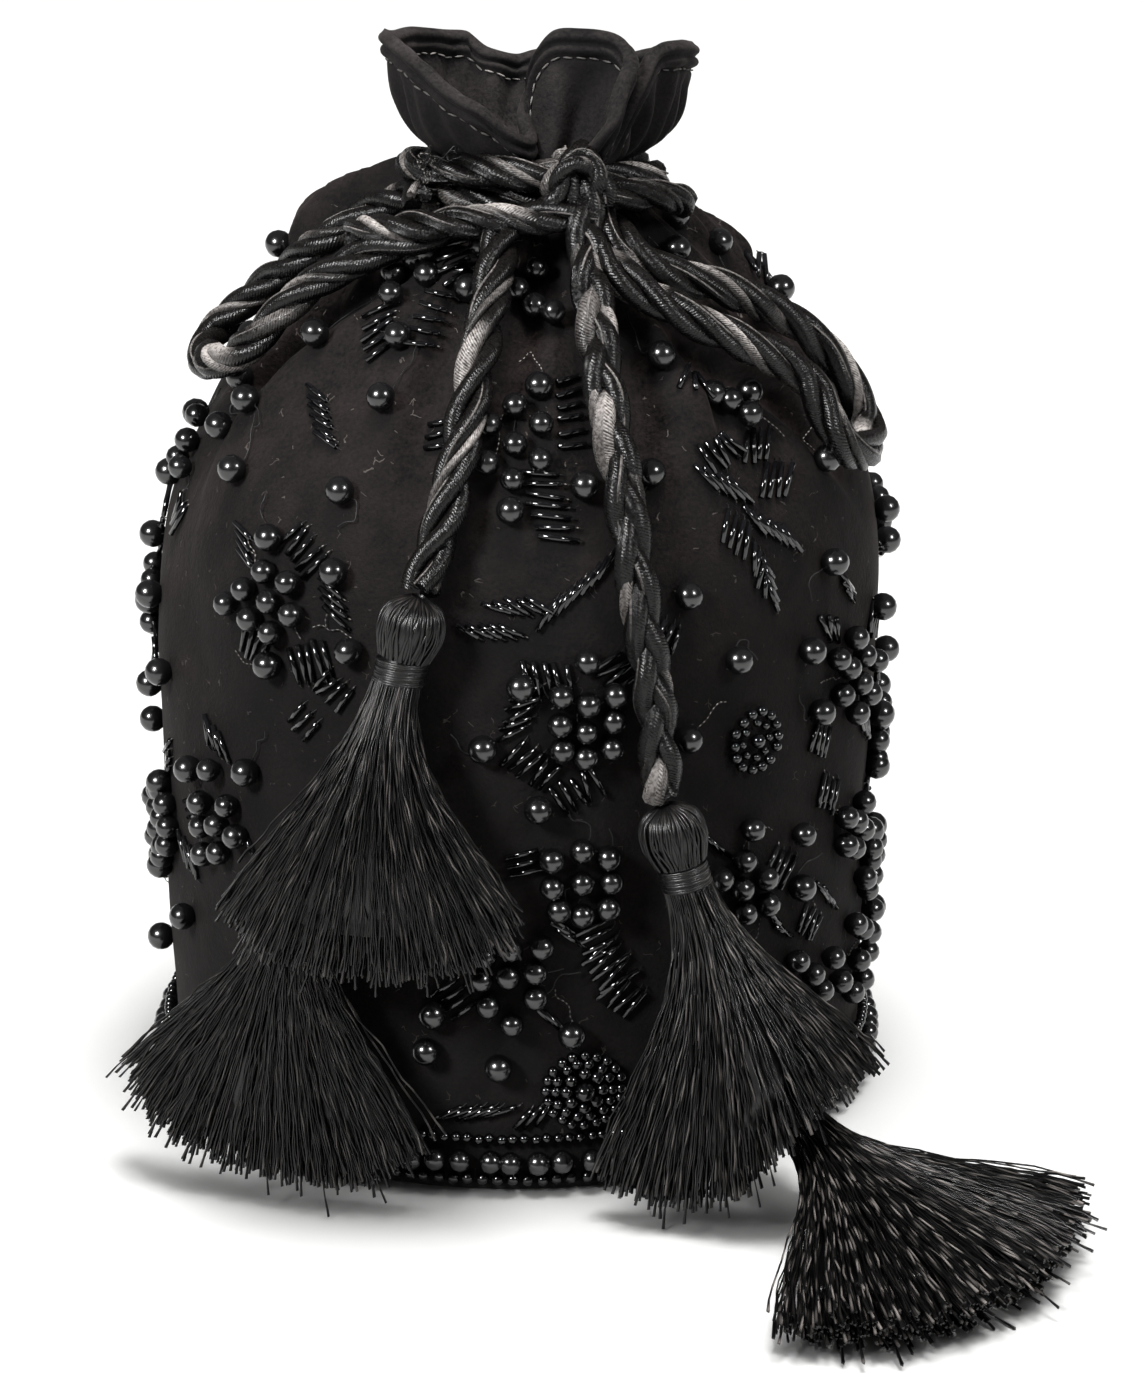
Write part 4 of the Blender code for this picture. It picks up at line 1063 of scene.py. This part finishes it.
def make_bugles(dice, leaves, bugle_tree, bugle_glass):
    """Bugle beads laid in leaves; returns the thread tie at each bead's end."""
    beads, ties = [], []
    for angle, height, lay_way, march_way, count, length in leaves:
        for index in range(count):
            step = (index - (count - 1) / 2) * 2.15 + dice.normal(0, 0.15)
            turn = angle + step * MM * math.cos(math.radians(march_way)) * degrees_per_metre(height * MM)
            level = min(height + step * math.sin(math.radians(march_way)), 193)
            spot, normal, lay = bead_frame(turn, level * MM, lay_way + dice.normal(0, 5))
            lay = unit(lay + normal * dice.normal(0, 0.05))
            long_size = length * (1 + dice.normal(0, 0.06)) * MM
            beads.append((spot + normal * 0.72 * MM, [1.2 * MM, 1.2 * MM, long_size],
                          Vector(lay).to_track_quat("Z", "Y").to_euler()))
            ties.append(np.array([spot + lay * (long_size / 2 + past * MM) + normal * lift * MM
                                  for past, lift in ((0, 0.8), (0.7, 0.5), (1.2, -0.2))]))
    sewn_beads("bugle_beads", beads, bugle_tree, bugle_glass, 8, 1)
    return ties


def make_sewing(dice, ties, thread_tree, sewing):
    """Short ties at the beads and loose ends that wander over the cloth."""
    for turn, level in PEARLS[:40] + FLOWER_PEARLS[::3]:
        if dice.random() < 0.75:
            points, way = [], dice.uniform(0, 6.28)
            for _ in range(7):
                points.append(on_cloth(turn, level * MM, (0.5 + 0.7 * dice.random()) * MM))
                way += dice.normal(0, 0.7)
                turn, level = turn + 1.5 * math.cos(way), min(193, level + 1.9 * math.sin(way))
            ties.append(resampled(points, 0.8 * MM)[0])
    # Tangle of loose threads at the foot of the heading band, at the left
    for _ in range(34):
        start = np.array([-16.5, -21.5, 206.5]) + dice.normal(0, 1, 3) * (2.4, 0.8, 1.6)
        steps = np.cumsum(dice.normal(0, 0.75, (6, 3)), axis=0)
        ties.append(resampled((start + steps) * MM, 0.8 * MM)[0])
    # About a third of the threads get painted glints; the rest stay dark
    tone = [np.full(len(path), float(dice.random() < 0.35)) for path in ties]
    lines = lines_mesh(ties, along=[np.arange(len(path)) * 0.8 for path in ties], tone=tone,
                       thick=[np.ones(len(path)) for path in ties])
    finish_piece(grown("sewing_threads", lines, thread_tree, Radius=0.13 * MM, Sides=4, Material=sewing))


# Rosettes: solid, angle (degrees), height (mm), rings of (distance out in mm, how many beads, bead size in mm)
ROSETTES = (("rosette_upper", 40.0, 94.0, ((0, 1, 3.2), (3.6, 8, 1.9), (6.1, 14, 2.4))),
            ("rosette_lower", 11.0, 23.0, ((0, 1, 4.4), (3.6, 8, 3.0), (6.0, 14, 2.5), (7.9, 20, 2.3))))


def make_beads(pearl_tree, bugle_tree, thread_tree, pearl_glass, bugle_glass, sewing):
    """Pearls, flowers, bugle leaves, sewing threads, rosettes and base strings."""
    dice = np.random.default_rng(11)
    leaves = make_pearls(dice, pearl_tree, pearl_glass)
    ties = make_bugles(dice, list(LEAVES) + leaves, bugle_tree, bugle_glass)
    make_sewing(dice, ties, thread_tree, sewing)
    for node, angle, height, rings in ROSETTES:
        beads = []
        for reach, count, size in rings:
            for index in range(count):
                turn = 2 * math.pi * (index + dice.normal(0, 0.06)) / count
                reach_now = (reach + dice.normal(0, 0.12) * (reach > 0)) * MM
                around = reach_now * math.cos(turn) * degrees_per_metre(height * MM)
                place = on_cloth(angle + around, height * MM + reach_now * math.sin(turn), (size / 2 + 0.15) * MM)
                beads.append((place, [size * MM] * 3, dice.uniform(0, 6.28, 3)))
        sewn_beads(node + "_beads", beads, pearl_tree, bugle_glass, 10, 6, [node])

    # Strings round the base: bead size and height in mm, how many beads, their segments and rings
    for node, size, height, count, segments, rings, glass, slot in (
            ("base_beads_top", 2.3, 12.4, 205, 8, 6, bugle_glass, "seed_beads"),
            ("base_beads_middle", 5.0, 7.5, 92, 14, 8, pearl_glass, "pearl_beads"),
            ("base_beads_bottom", 2.7, 3.2, 158, 8, 6, bugle_glass, "seed_beads")):
        turn = np.degrees(2 * np.pi * (np.arange(count) + dice.normal(0, 0.05, count)) / count)
        level = (height + dice.normal(0, 0.12, count)) * MM
        places = polar(turn, outline_radius(level) + (0.15 + size / 2 + dice.normal(0, 0.1, count)) * MM, level)
        places[:, 0] -= lean_at(level)
        sizes = np.repeat((size * MM * (1 + dice.normal(0, 0.02, count)))[:, None], 3, axis=1)
        sewn_beads(node + "_string", zip(places, sizes, dice.uniform(0, 6, (count, 3))), pearl_tree, glass,
                   segments, rings, [node])


# body


def make_body(cloth):
    """Stuffed cloth pouch, closed at the foot and at the neck."""
    foot = BASE_THICK + SEAT_GAP
    levels = foot + (NECK_HEIGHT - foot) * np.sin(np.linspace(0, 1, 190) * np.pi / 2) ** 0.86
    turn, height = np.meshgrid(np.linspace(0, 360, 440, endpoint=False), levels)
    rows = polar(turn, np.maximum(cloth_radius(turn, height), 12 * MM), height)
    # Gathered cloth puffs up beside the neck, most at the left: angle, width (degrees), rise (mm)
    for centre, wide, rise in ((-100, 17, 6.0), (-58, 9, 1.5), (84, 16, 2.5), (150, 24, 2.5)):
        near = eased((height / MM - 178) / 15) * np.exp(-(turned_from(turn, centre) / wide) ** 2)
        near = near * (1 + 0.16 * np.sin(np.radians(turn) * 29 + 0.2 * height / MM))
        rows[..., 2] += rise * MM * near
        rows[..., :2] += (rows[..., :2] - np.array([LEAN, 0])) * (0.026 * rise * near)[..., None]
    return skin("cloth_pouch", rows, cloth)


def make_neck_cord(thread_tree, gimp):
    """One turn round the neck, a second pass in front, the knot's two ends and its hitch."""
    level = 199.0 * MM
    ring = polar(np.degrees(np.linspace(0, 2 * np.pi, 49) + 2.6), 23.2 * MM, np.full(49, level))
    over = np.linspace(-112, 62, 15)
    rise = np.interp(over, (-112, -70, -30, 10, 62), (200.0, 203.6, 205.6, 205.0, 201.5)) * MM
    reach = np.interp(over, (-112, -70, -20, 20, 62), (25.0, 27.5, 28.0, 28.0, 27.0)) * MM
    low, tail, hitch = (np.array(points) * MM for points in (
        ((-33, -22, 191.5), (-24, -29, 194.5), (-13, -33.5, 196.5), (-2, -35, 197.5), (8, -35.5, 198.2),
         (16, -33.5, 199)),
        ((14, -31, 201), (21, -29.5, 201.5), (28, -25, 200.5), (33.5, -18.5, 198.5), (35.5, -12, 196)),
        ((7.6, -29, 195), (8.2, -33, 200), (9.4, -34.6, 205.5), (12.2, -34.6, 209.6), (15.6, -34, 209.6),
         (18.0, -33.4, 206), (18.6, -33, 201))))
    routes = [(points, width * MM, pitch * MM, *rest) for points, width, pitch, *rest in (
        (ring, 7.8, 30, 0, 23, False), (polar(over, reach, rise), 7.8, 30, 1, 29, False),
        (low, 7.6, 29, 2, 31, False), (tail, 7.4, 28, 1, 37, False), (hitch, 6.2, 28, 1, 43, True))]
    neck, _, _ = make_cords("neck_cord_strands", routes, thread_tree, gimp)
    finish_piece(neck, ["neck_cord"])


def make_stage():
    """Pale floor, soft lights and a faint even background."""
    data = bpy.data.meshes.new("floor")
    data.from_pydata([(-6, -6, 0), (6, -6, 0), (6, 6, 0), (-6, 6, 0)], [], [(0, 1, 2, 3)])
    data.materials.append(plain_surface("pale paper sweep", "#a3a3a2", "#a7a7a6", 2.0))
    floor = show("floor", data)
    # The sweep throws no light back up, so that the vertical cloth stays as dark as on the table
    floor.visible_diffuse = False
    # The key gives the highlights; the cloth is lit almost wholly from above
    soft_light("key", (-0.85, -0.95, 0.95), (0, 0, 0.10), (0.34, 0.34), 44, diffuse=False)
    soft_light("key_fill", (-0.85, -0.95, 0.95), (0, 0, 0.10), (0.34, 0.34), 9, glossy=False)
    soft_light("top", (0.15, -0.15, 2.4), (0, 0, 0.10), (0.8, 0.8), 108, glossy=False)
    soft_light("overhead", (0.0, 0.9, 2.6), (0, 0.6, 0), (4.6, 4.6), 230, glossy=False)
    soft_light("key_right", (0.95, -0.8, 0.95), (0, 0, 0.12), (0.24, 0.3), 14, diffuse=False)
    world = bpy.data.worlds.new("studio")
    world.use_nodes = True
    world.node_tree.nodes["Background"].inputs["Color"].default_value = linear("#ffffff")
    world.node_tree.nodes["Background"].inputs["Strength"].default_value = 0.12
    bpy.context.scene.world = world
    bpy.context.scene.view_settings.view_transform = "Standard"


# Free cords: route, width and pitch of the lay (mm), silver strand, seed, plaited or twisted, tassel at the end
CORDS = {
    "front_cord_left": (FRONT_LEFT, 8.4, 31, 0, 3, False, "upper_left"),
    "front_cord_right": (FRONT_RIGHT, 8.6, 36, 1, 5, True, "upper_right"),
    "carry_loop_left": (LOOP_LEFT, 8.2, 30, 2, 8, False, None),
    "carry_loop_right": (LOOP_RIGHT, 8.4, 38, 0, 13, False, None),
    "link_cord_left": (LINK_LEFT, 4.8, 17, 2, 17, True, "lower_left"),
    "link_cord_right": (LINK_RIGHT, 5.4, 19, 2, 19, True, "lower_right"),
}


def main():
    make_camera()
    thread_tree, stitch_tree = laid_thread_tree(), running_stitch_tree()
    pearl_tree, bugle_tree = sewn_bead_tree(False), sewn_bead_tree(True)
    gimp = rayon_gimp("rayon gimp plait")
    cords = {}
    for name, (route, width, pitch, *rest, _) in CORDS.items():
        lay = (placed(route), width * MM, pitch * MM, *rest)
        cords[name] = make_cords(name + "_strands", [lay], thread_tree, gimp)
        finish_piece(cords[name][0], [name])

    # The second colour of the fringe and head threads is their painted glint
    thread = twisted_thread("twisted rayon fringe thread", "#030303", "#645f5c", 10.0, 0.28)
    head_thread = twisted_thread("wound rayon thread", "#050404", "#2c2927", 3.1, 0.3)
    tassels = {label: make_tassel(label, spec, THREADS[label], 100 + index, thread_tree, thread, head_thread)
               for index, (label, spec) in enumerate(TASSELS.items())}
    for name, (piece, middle, total) in cords.items():
        width, label = CORDS[name][1] * MM, CORDS[name][-1]
    make_neck_cord(thread_tree, gimp)

    cloth = brushed_cotton("brushed cotton sateen", "#020202", "#1f1a19", 0.33)
    body = finish_piece(make_body(cloth), ["bag_body"])

    heading_cloth = brushed_cotton("plain cotton heading", "#0a0909", "#2b2727", 0.2)
    stitch_thread = twisted_thread("grey sewing cotton", "#8b8683", "#c9c4c0", 1.3, 0.6)
    band, stitches, wide, tall = make_frill(heading_cloth, stitch_tree, stitch_thread)
    finish_piece(band, ["mouth_frill"])
    finish_piece(stitches)

    pearl_glass = coated_glass("lacquered glass pearl", "#050506", "#0b0b0c", 1.72, (0.17, 0.27))
    bugle_glass = coated_glass("black glass bead", "#060607", "#0d0d0f", 1.6, (0.07, 0.14))
    # Its second colour is the painted glint of the loose sewing threads
    sewing = twisted_thread("black sewing thread", "#0c0b0b", "#8a8480", 1.1, 0.5)
    make_beads(pearl_tree, bugle_tree, thread_tree, pearl_glass, bugle_glass, sewing)

    board = plain_surface("cloth-covered base board", "#0d0c0c", "#1c1918", 900.0)
    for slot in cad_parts["base_panel"].material_slots:
        slot.material = board
    make_stage()


main()
